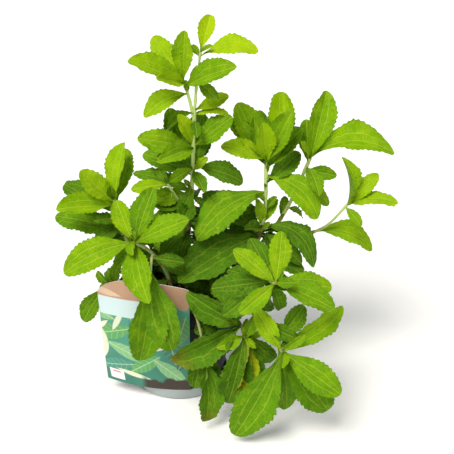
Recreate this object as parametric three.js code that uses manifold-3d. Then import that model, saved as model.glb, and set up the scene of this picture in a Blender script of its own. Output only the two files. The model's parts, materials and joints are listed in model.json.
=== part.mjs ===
// A bushy stevia plant in its nursery pot, with soil, saucer and a printed card, all in millimetres.
// +Z is up. The origin is on the ground, at the middle of the saucer's underside; -Y is the front.
import * as THREE from 'three';
import { mergeVertices } from 'three/addons/utils/BufferGeometryUtils.js';
import Module from 'manifold-3d';

const wasm = await Module();
wasm.setup();

// Driving dimensions of the things that hold the plant
const gap = 0.3; // between pieces that touch
const saucer = { baseRadius: 43, rimRadius: 47, height: 12, thickness: 1.6, lip: 0.5 };
const pot = { footRadius: 40, rimRadius: 62, height: 95, wall: 1.6, floor: 2, bandHeight: 9, bandStep: 1.4, edge: 0.8 };
const drain = { count: 5, radius: 4, ring: 27, sides: 12 };
const soil = { depthBelowRim: 8, lump: 1.4, shoulder: 1.5, segments: 16 };
const card = { curveRadius: 150, thickness: 0.8, bottom: 12.3, leftCorner: 120, rightCorner: 130, peak: 137 };
const cardEdge = { middle: 267, leftBottom: 30, leftTop: 25.5, right: 6, cornerCut: 1.5 }; // degrees round, and mm
const turned = 32; // straight sides in a full turn of the pot and the saucer

// Driving dimensions of the plant
const blade = { thickness: 0.8, widthShare: 0.215, fold: 16, wave: 0.02, toothShare: 0.1, sink: 1 };
const stemSides = 5;
const stemStep = 22; // between the rings of a stem
const holeRoom = 0.4; // between a stem and its hole
const bladeRoom = 3.3; // between the sampled points of blades on different leafy stems
const stemRoom = 2.2; // between a blade's points and another plant's stem
const cardRoom = 3.4; // between a blade's points and the card
const frontLight = [0, -0.95, 0.65]; // blades turn their faces partly this way
const backLight = [0, 0.3, 0.9];

// Each blade is [place along the shoot 0 to 1, heading, rise, length, arch, roll], angles in degrees, and on
// a few how far the blade's middle sways to its side, as a share of its length.
// Heading 0 is +X and 90 is the back; a blade that rises points up; arch bends its tip down.
// Pairs grow by rule: each next pair stands a quarter turn round from the last one.
const leafyStems = [
  { node: 'tall_leafy_stem', shoots: [
    { path: [[8, 6, 80], [9, 4, 140], [14, 2, 200], [17, 2, 268]], radius: [2.4, 1.6], blades: [
      [1, 195, -27, 28, 30, 10, -0.15], [0.97, 280, -23, 23, 20, 0],
      [0.86, 225, 61, 36, 15, 0], [0.85, 340, 40, 48, 8, 0],
      [0.845, 200, 16, 53, 20, 22], [0.84, 230, 0, 46, 45, 20],
      [0.74, 195, 30, 36, 15, 10], [0.76, 45, 43, 29, 10, 0],
      [0.76, 10, -21, 51, 45, 0], [0.74, 295, -21, 30, 20, 0],
      [0.72, 160, 17, 52, 20, 0], [0.62, 170, -10, 39, 20, 22],
      [0.46, 135, 53, 29, 15, 0], [0.42, 255, -29, 37, 30, 0],
      [0.45, 335, -27, 43, 35, 0], [0.74, 330, 42, 22, 5, 0],
      [0.64, 165, 15, 58, 15, -20], [0.68, 225, -68, 39, 20, 0],
    ], pairs: { from: 0.24, to: 0.56, count: 3, heading: 90, rise: -6, length: 40 } },
    { path: [[16.6, 2, 262], [13, 2, 280], [8, 4, 297]], radius: [1.5, 1.0], blades: [
      [0.66, 200, -21, 44, 50, 25, -0.08], [0.95, 200, 26, 55, 20, 12],
      [1, 145, 45, 49, 10, 15], [0.9, 230, 19, 37, 15, 30],
      [1, 285, 82, 45, 5, 0], [0.85, 330, 26, 56, 30, -22],
    ] },
    { path: [[17, 2, 266], [19, 3, 290], [23, 4, 322]], radius: [1.4, 0.9], blades: [
      [1, 70, 48, 38, 8, 0], [0.95, 0, 4, 51, 40, 12, 0.08],
      [0.62, 320, -31, 28, 50, -20], [0.1, 10, 22, 33, 10, -25],
      [0.02, 350, 4, 31, 40, 20],
    ] },
    { path: [[12, 3, 170], [1, -2, 188], [-8, -6, 205]], radius: [1.5, 1.0], blades: [
      [0.97, 195, -2, 34, 45, 12], [1, 340, 34, 28, 12, -10],
      [0.9, 135, 39, 22, 12, 10],
    ] },
  ] },
  { node: 'left_far_leafy_stem', shoots: [
    { path: [[-16, 14, 80], [-38, 22, 112], [-55, 18, 150], [-59, 10, 184]], radius: [2.2, 1.2], blades: [
      [0.98, 75, 61, 56, 12, 20], [0.95, 195, 49, 46, 0, 10],
      [1, 265, 52, 23, 15, 0], [0.92, 195, 3, 55, 20, 0],
      [0.88, 155, 17, 61, -10, 0], [0.84, 140, 20, 53, 0, 0],
      [0.64, 175, 14, 66, 20, -5], [0.52, 150, 6, 38, 20, 0],
    ], pairs: { from: 0.28, to: 0.7, count: 3, heading: 60, rise: -10, length: 34 } },
  ] },
  { node: 'left_near_leafy_stem', shoots: [
    { path: [[-4, -18, 80], [-8, -28, 122], [-22, -36, 150], [-38, -42, 163]], radius: [2.1, 1.3], blades: [
      [1, 125, 50, 41, 12, 0], [0.95, 25, 69, 53, 12, 5],
      [0.97, 345, 30, 58, 20, -10], [0.97, 200, -17, 67, 25, 5, -0.06],
      [1, 275, -5, 24, 15, 0], [0.9, 195, -40, 29, 10, 0],
      [0.95, 285, -31, 63, 45, 0], [0.78, 150, -34, 25, 20, 0],
      [0.55, 15, 48, 40, 30, 0],
    ], pairs: { from: 0.3, to: 0.5, count: 2, heading: 60, rise: 0, length: 28 } },
    { path: [[-19.6, -34.9, 146.6], [-20, -54, 153], [-20, -72, 148]], radius: [1.4, 1.0], blades: [
      [0.98, 215, -81, 88, 25, 25], [0.97, 325, -74, 77, 15, -15],
      [0.5, 0, -9, 29, 25, 0],
    ] },
  ] },
  { node: 'right_leafy_stem', shoots: [
    { path: [[26, 10, 80], [62, 9, 116], [80, 10, 160], [82, 10, 222]], radius: [2.5, 1.6], blades: [
      [1, 195, 22, 46, 25, 25, -0.06], [0.99, 255, 71, 43, 10, 0],
      [0.97, 140, 56, 64, 35, 2], [0.97, 155, 55, 47, 15, 0],
      [0.99, 345, 66, 54, 10, -10], [0.98, 65, 61, 69, 10, 5, -0.12],
      [0.95, 20, 47, 51, 20, -10], [0.88, 25, 36, 44, 30, -20],
      [0.92, 335, -33, 62, 30, 0, 0.14], [0.84, 215, -20, 82, 35, 0, -0.08],
      [0.58, 215, -21, 97, 38, 0], [0.64, 330, -25, 62, 75, 5, 0.18],
      [0.6, 170, 35, 66, 30, 0], [0.62, 140, 20, 29, 20, 0],
      [0.6, 350, -12, 56, 55, 20, 0.14],
    ], pairs: { from: 0.26, to: 0.46, count: 2, heading: 80, rise: -15, length: 48 } },
  ] },
  { node: 'right_far_leafy_stem', shoots: [
    { path: [[30, 21, 80], [71, 25, 122], [101, 22, 166], [123, 20, 220]], radius: [2.3, 1.4], blades: [
      [1, 45, 75, 64, 8, 0], [1, 350, 8, 77, 50, 0, 0.14],
      [0.97, 100, 65, 41, 15, 0], [0.95, 290, -39, 30, 40, 0],
      [0.93, 350, -8, 30, 30, -20], [0.84, 5, -34, 37, 40, 0],
      [1, 235, 50, 27, 10, 0], [0.7, 40, -35, 26, 30, 0],
      [0.62, 70, 50, 23, 10, 0],
    ], pairs: { from: 0.24, to: 0.5, count: 3, heading: 85, rise: -10, length: 44 } },
    { path: [[90.3, 23.4, 147.8], [116, 13, 147], [138, 5, 158], [157, 0, 182]], radius: [1.6, 1.1], blades: [
      [1, 160, 82, 46, 45, -35], [1, 350, 7, 46, 30, 25, 0.08],
      [0.98, 20, 43, 42, 10, 0], [0.97, 315, -34, 24, 35, -20],
      [0.5, 355, -16, 59, 55, 30, 0.08],
    ] },
  ] },
  { node: 'front_leafy_stem', shoots: [
    { path: [[30, -16, 80], [54, -44, 118], [76, -74, 141], [87, -92, 147]], radius: [2.1, 1.2], blades: [
      [1, 75, 55, 45, 12, 0], [1, 170, 40, 46, 12, 0],
      [0.9, 125, 45, 43, 15, 0], [1, 210, -30, 40, 15, 0],
      [1, 340, -17, 54, 20, 25], [0.95, 10, -11, 53, 20, 25],
      [0.98, 310, 20, 25, 10, 0], [0.86, 175, -10, 52, 20, 0],
      [0.78, 190, -40, 50, 25, 0], [0.88, 25, -70, 32, 10, 0],
    ], pairs: { from: 0.42, to: 0.62, count: 2, heading: 60, rise: -5, length: 32 } },
  ] },
  { node: 'low_front_leafy_stem', shoots: [
    { path: [[26, -22, 80], [48, -46, 108], [76, -80, 104], [94, -102, 86]], radius: [2.1, 1.3], blades: [
      [1, 150, 50, 44, 10, 0], [0.98, 15, 30, 65, 5, -10],
      [0.99, 355, 40, 25, 10, 0], [1, 340, -30, 61, 20, 0],
      [0.95, 355, -55, 78, 20, 0], [0.94, 350, -81, 65, 20, 15],
      [1, 200, -60, 89, 20, 0], [1, 265, -5, 22, 10, 0],
      [0.88, 45, 35, 43, 25, 0],
    ], pairs: { from: 0.52, to: 0.7, count: 2, heading: 50, rise: -20, length: 40 } },
  ] },
  { node: 'low_left_leafy_stem', shoots: [
    { path: [[14, -28, 80], [36, -50, 106], [54, -68, 102], [62, -78, 86]], radius: [1.9, 1.0], blades: [
      [0.95, 210, -10, 28, 25, 0], [0.8, 190, 35, 58, 25, 0],
      [0.8, 190, -23, 69, 30, 0], [0.95, 230, -71, 66, 40, 0],
      [0.92, 5, -45, 42, 20, 0], [0.98, 250, -61, 48, 25, 42, 0.12],
      [0.9, 15, -75, 55, 20, 0], [1, 330, 70, 26, 10, 0],
    ], pairs: { from: 0.5, to: 0.66, count: 2, heading: 100, rise: 10, length: 36 } },
  ] },
  { node: 'hanging_leafy_stem', shoots: [
    { path: [[8, -34, 80], [14, -54, 106], [22, -76, 94], [27, -88, 66]], radius: [1.7, 1.0], blades: [
      [0.85, 215, -76, 41, 20, 0], [1, 280, -74, 60, 25, 35],
      [0.95, 335, -70, 43, 20, 0],
    ] },
  ] },
  { node: 'left_low_leafy_stem', shoots: [
    { path: [[-34, -2, 80], [-50, -16, 107], [-66, -28, 112]], radius: [1.8, 1.1], blades: [
      [1, 190, -63, 42, 30, 0], [0.8, 305, 66, 30, 20, 0],
    ], pairs: { from: 0.35, to: 0.6, count: 2, heading: 45, rise: 5, length: 27 } },
  ] },
  { node: 'back_left_leafy_stem', light: backLight, shoots: [
    { path: [[-12, 32, 80], [-22, 54, 107], [-38, 74, 122]], radius: [2.0, 1.1], blades: [],
      pairs: { from: 0.36, to: 1, count: 5, heading: 20, rise: 6, length: 52 } },
  ] },
  { node: 'back_leafy_stem', light: backLight, shoots: [
    { path: [[10, 34, 80], [14, 58, 110], [14, 84, 126]], radius: [2.1, 1.1], blades: [],
      pairs: { from: 0.36, to: 1, count: 5, heading: 5, rise: 6, length: 54 } },
  ] },
  { node: 'back_right_leafy_stem', light: backLight, shoots: [
    { path: [[29, 29, 80], [44, 52, 110], [58, 78, 126]], radius: [2.0, 1.1], blades: [],
      pairs: { from: 0.36, to: 1, count: 5, heading: 60, rise: 6, length: 52 } },
  ] },
];

const rad = THREE.MathUtils.degToRad;

// A small seeded generator, so that every build grows the same plant
let seed = 20117;
function draw(low, high) {
  seed = (seed * 16807) % 2147483647;
  return low + (high - low) * (seed / 2147483647);
}

// ---- Closed meshes as solids, and back ----

function solidFrom(points, triangles) {
  return new wasm.Manifold(new wasm.Mesh({
    numProp: 3,
    vertProperties: new Float32Array(points.flatMap((p) => [p.x, p.y, p.z])),
    triVerts: new Uint32Array(triangles.flat()),
  }));
}

function solidOf(geometry) {
  geometry.deleteAttribute('normal');
  geometry.deleteAttribute('uv');
  const merged = mergeVertices(geometry, 1e-4);
  const position = merged.getAttribute('position');
  const index = merged.getIndex();
  const points = [];
  for (let i = 0; i < position.count; i += 1) {
    points.push(new THREE.Vector3().fromBufferAttribute(position, i));
  }
  const triangles = [];
  for (let i = 0; i < index.count; i += 3) {
    const [a, b, c] = [index.getX(i), index.getX(i + 1), index.getX(i + 2)];
    if (a !== b && b !== c && c !== a) triangles.push([a, b, c]);
  }
  return solidFrom(points, triangles);
}

function meshOf(name, solid, material) {
  const { vertProperties, triVerts, numProp } = solid.getMesh();
  const position = [];
  for (let i = 0; i < vertProperties.length; i += numProp) {
    position.push(vertProperties[i], vertProperties[i + 1], vertProperties[i + 2]);
  }
  const geometry = new THREE.BufferGeometry();
  geometry.setAttribute('position', new THREE.Float32BufferAttribute(position, 3));
  geometry.setIndex(Array.from(triVerts));
  geometry.computeVertexNormals();
  const mesh = new THREE.Mesh(geometry, material);
  mesh.name = name;
  return mesh;
}

// A profile of [radius, height] points, from the axis out, up and back to the axis
function lathe(profile, sides) {
  const points = profile.map(([radius, height]) => new THREE.Vector2(radius, height));
  const geometry = new THREE.LatheGeometry(points, sides);
  geometry.rotateX(Math.PI / 2);
  return geometry;
}

// ---- The pot, its saucer, the soil and the card ----

const seat = saucer.thickness + gap; // the pot's underside
const rimTop = seat + pot.height;
const bodyRim = pot.rimRadius - pot.bandStep;
const soilTop = rimTop - soil.depthBelowRim;
const wallRadius = (z) => pot.footRadius + (bodyRim - pot.footRadius) * ((z - seat) / pot.height);
const insideRadius = (z) => wallRadius(z) - pot.wall;

function makeSaucer() {
  const { baseRadius, rimRadius, height, thickness, lip } = saucer;
  return solidOf(lathe([
    [0, 0], [baseRadius, 0], [rimRadius, height - lip], [rimRadius - lip, height],
    [rimRadius - thickness, height], [baseRadius - thickness + lip, thickness], [0, thickness],
  ], turned));
}

function makePot() {
  const bandFoot = rimTop - pot.bandHeight;
  const floorTop = seat + pot.floor;
  let body = solidOf(lathe([
    [0, seat], [pot.footRadius - pot.edge, seat], [pot.footRadius, seat + pot.edge],
    [wallRadius(bandFoot), bandFoot], [pot.rimRadius - pot.edge, bandFoot],
    [pot.rimRadius, rimTop - pot.edge], [pot.rimRadius - pot.edge, rimTop],
    [insideRadius(rimTop), rimTop], [insideRadius(floorTop), floorTop], [0, floorTop],
  ], turned));
  for (let i = 0; i < drain.count; i += 1) {
    const angle = (i / drain.count) * 2 * Math.PI;
    const drill = new THREE.CylinderGeometry(drain.radius, drain.radius, 4 * pot.floor, drain.sides);
    drill.rotateX(Math.PI / 2);
    drill.translate(drain.ring * Math.cos(angle), drain.ring * Math.sin(angle), seat + pot.floor / 2);
    body = body.subtract(solidOf(drill));
  }
  return body;
}

function makeSoil(stems) {
  const foot = seat + pot.floor + gap;
  const shoulder = soilTop - soil.shoulder;
  const edge = insideRadius(shoulder) - gap;
  const geometry = lathe([
    [0, foot], [insideRadius(foot) - gap, foot], [edge, shoulder], [edge - soil.shoulder, soilTop],
    [0.72 * edge, soilTop], [0.46 * edge, soilTop], [0.2 * edge, soilTop], [0, soilTop],
  ], soil.segments);
  const position = geometry.getAttribute('position');
  for (let i = 0; i < position.count; i += 1) {
    const [x, y, z] = [position.getX(i), position.getY(i), position.getZ(i)];
    if (z > soilTop - 0.1) position.setZ(i, z + soil.lump * Math.sin(x / 5 + 1) * Math.cos(y / 6 - x / 11));
  }
  let plug = solidOf(geometry);
  for (const stem of stems) plug = plug.subtract(rootHole(stem.shoots[0]));
  return plug;
}

// The card is part of a wide cone: it leans on the pot's rim and stands on the saucer's rim
const leanHeight = rimTop - pot.bandHeight;
const leanRadius = pot.rimRadius - pot.edge + gap;
const cardLean = (leanRadius - (saucer.rimRadius - 1)) / (leanHeight - card.bottom);
const cardCentre = new THREE.Vector2(Math.cos(rad(cardEdge.middle)), Math.sin(rad(cardEdge.middle)))
  .multiplyScalar(leanRadius - card.curveRadius);
const cardRadius = (z) => card.curveRadius + (z - leanHeight) * cardLean;

function cardLeft(z) {
  const share = (z - card.bottom) / (card.leftCorner - card.bottom);
  return -THREE.MathUtils.lerp(cardEdge.leftBottom, cardEdge.leftTop, Math.min(share, 1));
}

function cardPoint(turn, z, out) {
  const angle = rad(cardEdge.middle + turn);
  const radius = cardRadius(z) + out;
  return new THREE.Vector3(
    cardCentre.x + radius * Math.cos(angle), cardCentre.y + radius * Math.sin(angle), z);
}

function makeCard() {
  const columns = 12;
  const rows = 2;
  const points = [];
  for (const out of [card.thickness, 0]) {
    for (let i = 0; i <= columns; i += 1) {
      const share = i / columns;
      const corner = THREE.MathUtils.lerp(card.leftCorner, card.rightCorner, share);
      const top = corner - cardEdge.cornerCut * Math.abs(2 * share - 1) ** 12
        + (card.peak - corner) * Math.sin(Math.PI * share) ** 0.8;
      for (let j = 0; j <= rows; j += 1) {
        const z = card.bottom + (top - card.bottom) * (j / rows);
        points.push(cardPoint(THREE.MathUtils.lerp(cardLeft(z), cardEdge.right, share), z, out));
      }
    }
  }
  const sheet = (columns + 1) * (rows + 1);
  const at = (i, j) => i * (rows + 1) + j;
  const triangles = [];
  for (let i = 0; i < columns; i += 1) {
    for (let j = 0; j < rows; j += 1) {
      const [a, b, c, d] = [at(i, j), at(i + 1, j), at(i + 1, j + 1), at(i, j + 1)];
      triangles.push([a, b, c], [a, c, d], [c + sheet, b + sheet, a + sheet], [d + sheet, c + sheet, a + sheet]);
    }
  }
  const border = [];
  for (let i = 0; i < columns; i += 1) border.push(at(i, 0));
  for (let j = 0; j < rows; j += 1) border.push(at(columns, j));
  for (let i = columns; i > 0; i -= 1) border.push(at(i, rows));
  for (let j = rows; j > 0; j -= 1) border.push(at(0, j));
  border.forEach((a, k) => {
    const b = border[(k + 1) % border.length];
    triangles.push([a + sheet, b + sheet, b], [a + sheet, b, a]);
  });
  return solidFrom(points, triangles);
}

// ---- Stems ----

const pathOf = (shoot) => new THREE.CatmullRomCurve3(
  shoot.path.map(([x, y, z]) => new THREE.Vector3(x, y, z)), false, 'catmullrom', 0.5);
const radiusAt = (shoot, t) => THREE.MathUtils.lerp(shoot.radius[0], shoot.radius[1], t);

// A tapered tube through rings of points round the path
function tube(rings) {
  const points = [];
  let across = new THREE.Vector3(1, 0.2, 0);
  for (const { centre, along, radius } of rings) {
    across.addScaledVector(along, -across.dot(along)).normalize();
    const other = new THREE.Vector3().crossVectors(along, across);
    for (let k = 0; k < stemSides; k += 1) {
      const angle = (k / stemSides) * 2 * Math.PI;
      points.push(centre.clone()
        .addScaledVector(across, radius * Math.cos(angle))
        .addScaledVector(other, radius * Math.sin(angle)));
    }
  }
  const triangles = [];
  const last = (rings.length - 1) * stemSides;
  for (let i = 0; i < rings.length - 1; i += 1) {
    for (let k = 0; k < stemSides; k += 1) {
      const a = i * stemSides + k;
      const b = i * stemSides + ((k + 1) % stemSides);
      triangles.push([a, b, b + stemSides], [a, b + stemSides, a + stemSides]);
    }
  }
  for (let k = 1; k < stemSides - 1; k += 1) {
    triangles.push([0, k + 1, k], [last, last + k, last + k + 1]);
  }
  return solidFrom(points, triangles);
}

const stepsOf = (curve) => Math.max(3, Math.round(curve.getLength() / stemStep));

function makeShoot(shoot) {
  const curve = pathOf(shoot);
  const steps = stepsOf(curve);
  const rings = [];
  for (let i = 0; i <= steps; i += 1) {
    const t = i / steps;
    rings.push({ centre: curve.getPoint(t), along: curve.getTangent(t), radius: radiusAt(shoot, t) });
  }
  return tube(rings);
}

// The plain hole that a stem stands in: the stem's own foot, a little wider and a little deeper
function rootHole(shoot) {
  const curve = pathOf(shoot);
  const steps = stepsOf(curve);
  const rings = [];
  for (let i = 0; i === 0 || rings[i - 1].centre.z < soilTop + 4; i += 1) {
    const t = i / steps;
    rings.push({ centre: curve.getPoint(t), along: curve.getTangent(t), radius: radiusAt(shoot, t) + holeRoom });
  }
  rings[0].centre.addScaledVector(rings[0].along, -holeRoom);
  return tube(rings);
}

// ---- Blades ----

const toothedEdge = { // [place along the blade, 1 for a tooth and 0 for the notch after it]
  large: [[0.22, 0.5], [0.47, 1], [0.52, 0], [0.66, 1], [0.71, 0], [0.85, 1]],
  small: [[0.28, 0.5], [0.55, 1], [0.6, 0], [0.82, 1]],
};
const midline = [0.36, 0.68];
const largeLength = 52;

// Narrow at the root, widest a little past the middle, and bluntly pointed
function halfWidth(leaf, u) {
  const swell = Math.max(Math.sin(Math.PI * Math.max(u, 0) ** 1.32), 0) ** (1.15 - 0.55 * u);
  return leaf.length * (leaf.widthShare * swell + 0.012 * (1 - u));
}

// Where a blade stands: its root on the stem, its chord, the way it faces and the way across
function standLeaf(shoot, row, light) {
  const [at, heading, rise, length, arch, roll, sway = 0] = row;
  const curve = pathOf(shoot);
  const chord = new THREE.Vector3(
    Math.cos(rad(rise)) * Math.cos(rad(heading)),
    Math.cos(rad(rise)) * Math.sin(rad(heading)),
    Math.sin(rad(rise)));
  const face = curve.getTangent(at).multiplyScalar(0.5).add(new THREE.Vector3(...light));
  face.addScaledVector(chord, -face.dot(chord)).normalize();
  const side = new THREE.Vector3().crossVectors(face, chord);
  face.multiplyScalar(Math.cos(rad(roll))).addScaledVector(side, Math.sin(rad(roll)));
  side.crossVectors(face, chord);
  return { root: curve.getPoint(at), chord, face, side, length, arch: rad(arch), sway };
}

// A point of the blade: u runs from root to tip, v from edge to edge, lift is off its middle sheet
function leafPoint(leaf, u, v, lift) {
  const bend = leaf.arch * (u - 0.5);
  const half = leaf.arch / 2;
  let along = u * leaf.length;
  let up = 0;
  if (Math.abs(half) > 1e-3) {
    const radius = leaf.length / (2 * Math.sin(half));
    along = radius * (Math.sin(bend) + Math.sin(half));
    up = radius * (Math.cos(bend) - Math.cos(half));
  }
  const out = leaf.chord.clone().multiplyScalar(-Math.sin(bend)).addScaledVector(leaf.face, Math.cos(bend));
  const reach = Math.abs(v) * halfWidth(leaf, u);
  const fold = rad(leaf.fold);
  const wave = blade.wave * leaf.length * v * v * Math.sin(2 * Math.PI * (1.6 * u + leaf.phase + 0.2 * v));
  return leaf.root.clone()
    .addScaledVector(leaf.chord, along)
    .addScaledVector(leaf.face, up)
    .addScaledVector(leaf.side, leaf.sway * leaf.length * 4 * u * (1 - u))
    .addScaledVector(leaf.side, Math.sign(v) * (reach * Math.cos(fold) - lift * Math.sin(fold)))
    .addScaledVector(out, reach * Math.sin(fold) + wave + lift * (v === 0 ? 1 / Math.cos(fold) : Math.cos(fold)));
}

// The strip of triangles between the midrib and one toothed edge, counter-clockwise on the left
function edgeStrip(spine, edge) {
  const strip = [];
  let i = 0;
  let j = 0;
  while (i < spine.length - 1 || j < edge.length - 1) {
    const spineNext = i < spine.length - 1 ? spine[i + 1].u : Infinity;
    const edgeNext = j < edge.length - 1 ? edge[j + 1].u : Infinity;
    if (spineNext <= edgeNext) {
      strip.push([spine[i].id, spine[i + 1].id, edge[j].id]);
      i += 1;
    } else {
      strip.push([spine[i].id, edge[j + 1].id, edge[j].id]);
      j += 1;
    }
  }
  return strip;
}

function makeLeaf(leaf) {
  const stations = leaf.length > largeLength ? toothedEdge.large : toothedEdge.small;
  const spots = [];
  const spot = (u, v) => {
    spots.push({ id: spots.length, u, v });
    return spots[spots.length - 1];
  };
  const root = spot(-blade.sink / leaf.length, 0);
  const spine = [...midline, 1].map((u) => spot(u, 0));
  const edges = [1, -1].map((v) => stations.map(([u, tooth]) => (
    spot(u, v * (1 + blade.toothShare * (tooth - 0.5))))));
  const left = edgeStrip(spine, edges[0]);
  const right = edgeStrip(spine, edges[1]).map(([a, b, c]) => [a, c, b]);
  const [leftFoot, rightFoot] = edges.map((edge) => edge[0].id);
  const upper = [[root.id, rightFoot, leftFoot], [leftFoot, rightFoot, spine[0].id], ...left, ...right];
  const count = spots.length;
  const triangles = [...upper, ...upper.map(([a, b, c]) => [c + count, b + count, a + count])];
  const border = [root, ...edges[1], spine[spine.length - 1], ...edges[0].slice().reverse()];
  border.forEach(({ id: a }, k) => {
    const b = border[(k + 1) % border.length].id;
    triangles.push([a + count, b + count, b], [a + count, b, a]);
  });
  const half = blade.thickness / 2;
  const points = [half, -half].flatMap((lift) => spots.map(({ u, v }) => leafPoint(leaf, u, v, lift)));
  return solidFrom(points, triangles);
}

// ---- What a blade must stay clear of ----

const sampleRows = 13;
const sampleColumns = [-1, -0.5, 0, 0.5, 1];
const firstSample = 0.14;
const spotStep = 3; // between the balls along a stem

function samplesOf(leaf) {
  const samples = [];
  for (let i = 0; i < sampleRows; i += 1) {
    const u = firstSample + (1 - firstSample) * (i / (sampleRows - 1));
    for (const v of sampleColumns) samples.push(leafPoint(leaf, u, v, 0));
  }
  return samples;
}

function clearOfHolder(p) {
  const radius = Math.hypot(p.x, p.y);
  if (p.z < 1.5) return false;
  if (p.z < rimTop + 2 && radius < pot.rimRadius + 2.5) {
    return p.z > soilTop + 4 && radius < pot.rimRadius - 6;
  }
  const [dx, dy] = [p.x - cardCentre.x, p.y - cardCentre.y];
  const turn = THREE.MathUtils.radToDeg(Math.atan2(dy, dx)) + 360 - cardEdge.middle;
  const besideCard = p.z > card.peak + 3 || turn < cardLeft(p.z) - 1.5 || turn > cardEdge.right + 1.5;
  return besideCard || Math.abs(Math.hypot(dx, dy) - cardRadius(p.z)) > cardRoom;
}

const placed = []; // every blade so far: { node, middle, reach, samples }
const stemSpots = []; // every stem, as a row of balls: { node, centre, room }

function isClear(node, leaf, samples) {
  if (!samples.every(clearOfHolder)) return false;
  const middle = leafPoint(leaf, 0.5, 0, 0);
  const reach = leaf.length / 2 + bladeRoom;
  for (const spot of stemSpots) {
    if (spot.node === node || spot.centre.distanceTo(middle) > reach + spot.room) continue;
    if (samples.some((p) => p.distanceTo(spot.centre) < spot.room)) return false;
  }
  for (const other of placed) {
    if (other.node === node || other.middle.distanceTo(middle) > reach + other.reach) continue;
    if (samples.some((p) => other.samples.some((q) => p.distanceTo(q) < bladeRoom))) return false;
  }
  return true;
}

// Small turns that a blade may take to bend clear of its neighbours, then shorter ones
const nudges = [[0, 0], [6, 0], [-6, 0], [0, 8], [0, -8], [12, 4], [-12, -4], [4, 14], [-4, -14],
  [18, -8], [-18, 8], [10, 20], [-10, -20], [24, 0], [-24, 0]];
const shortenings = [1, 0.86, 0.74];

function growLeaf(node, shoot, row, light) {
  const style = {
    phase: draw(0, 1),
    widthShare: blade.widthShare * draw(0.94, 1.12),
    fold: blade.fold * draw(0.6, 1.3),
  };
  const [at, heading, rise, length, ...bends] = row;
  for (const share of shortenings) {
    for (const [lift, turn] of nudges) {
      const tried = [at, heading + turn, rise + lift, length * share, ...bends];
      const leaf = { ...standLeaf(shoot, tried, light), ...style };
      const samples = samplesOf(leaf);
      if (isClear(node, leaf, samples)) {
        placed.push({ node, middle: leafPoint(leaf, 0.5, 0, 0), reach: leaf.length / 2, samples });
        return leaf;
      }
    }
  }
  return null;
}

// Opposite pairs up a shoot, each pair a quarter turn round from the last
function pairRows({ from, to, count, heading, rise, length }) {
  const rows = [];
  for (let i = 0; i < count; i += 1) {
    const at = from + (to - from) * (i / (count - 1));
    for (const opposite of [0, 180]) {
      rows.push([at, heading + 90 * i + opposite + draw(-12, 12), rise + draw(-10, 14), length * draw(0.85, 1.12),
        draw(15, 40), 0]);
    }
  }
  return rows;
}

// Every stem stands first, then the chosen blades of every stem, then the pairs between them
for (const { node, shoots } of leafyStems) {
  for (const shoot of shoots) {
    const curve = pathOf(shoot);
    const count = Math.ceil(curve.getLength() / spotStep);
    for (let i = 0; i <= count; i += 1) {
      stemSpots.push({ node, centre: curve.getPoint(i / count), room: radiusAt(shoot, i / count) + stemRoom });
    }
  }
}
const grown = new Map(leafyStems.map(({ node }) => [node, []]));
for (const { node, light = frontLight, shoots } of leafyStems) {
  for (const shoot of shoots) {
    for (const row of shoot.blades) grown.get(node).push(growLeaf(node, shoot, row, light));
  }
}
for (const { node, light = frontLight, shoots } of leafyStems) {
  for (const shoot of shoots) {
    if (!shoot.pairs) continue;
    for (const row of pairRows(shoot.pairs)) grown.get(node).push(growLeaf(node, shoot, row, light));
  }
}

function makeLeafyStem({ node, shoots }) {
  let plant = makeShoot(shoots[0]);
  for (const shoot of shoots.slice(1)) plant = plant.add(makeShoot(shoot));
  for (const leaf of grown.get(node)) {
    if (leaf) plant = plant.add(makeLeaf(leaf));
  }
  return plant;
}

// ---- The whole object ----

const finish = (color, roughness) => new THREE.MeshStandardMaterial({ color, roughness, metalness: 0 });
const greyPlastic = finish(0xa9b0aa, 0.45);
const charcoalPlastic = finish(0x24272b, 0.5);
const printedCard = finish(0x9fb59a, 0.55);
const pottingSoil = finish(0x3a2a20, 0.95);
const leafGreen = finish(0x6f9f1d, 0.5);

const group = new THREE.Group();
group.add(meshOf('saucer', makeSaucer(), greyPlastic));
group.add(meshOf('pot', makePot(), charcoalPlastic));
group.add(meshOf('soil', makeSoil(leafyStems), pottingSoil));
group.add(meshOf('label_card', makeCard(), printedCard));
for (const stem of leafyStems) group.add(meshOf(stem.node, makeLeafyStem(stem), leafGreen));

export default group;
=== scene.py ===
# A young stevia plant in its nursery pot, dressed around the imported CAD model.
# Plans are in millimetres, as the CAD model is; everything that goes into Blender is in metres.
import json
import math

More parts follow.
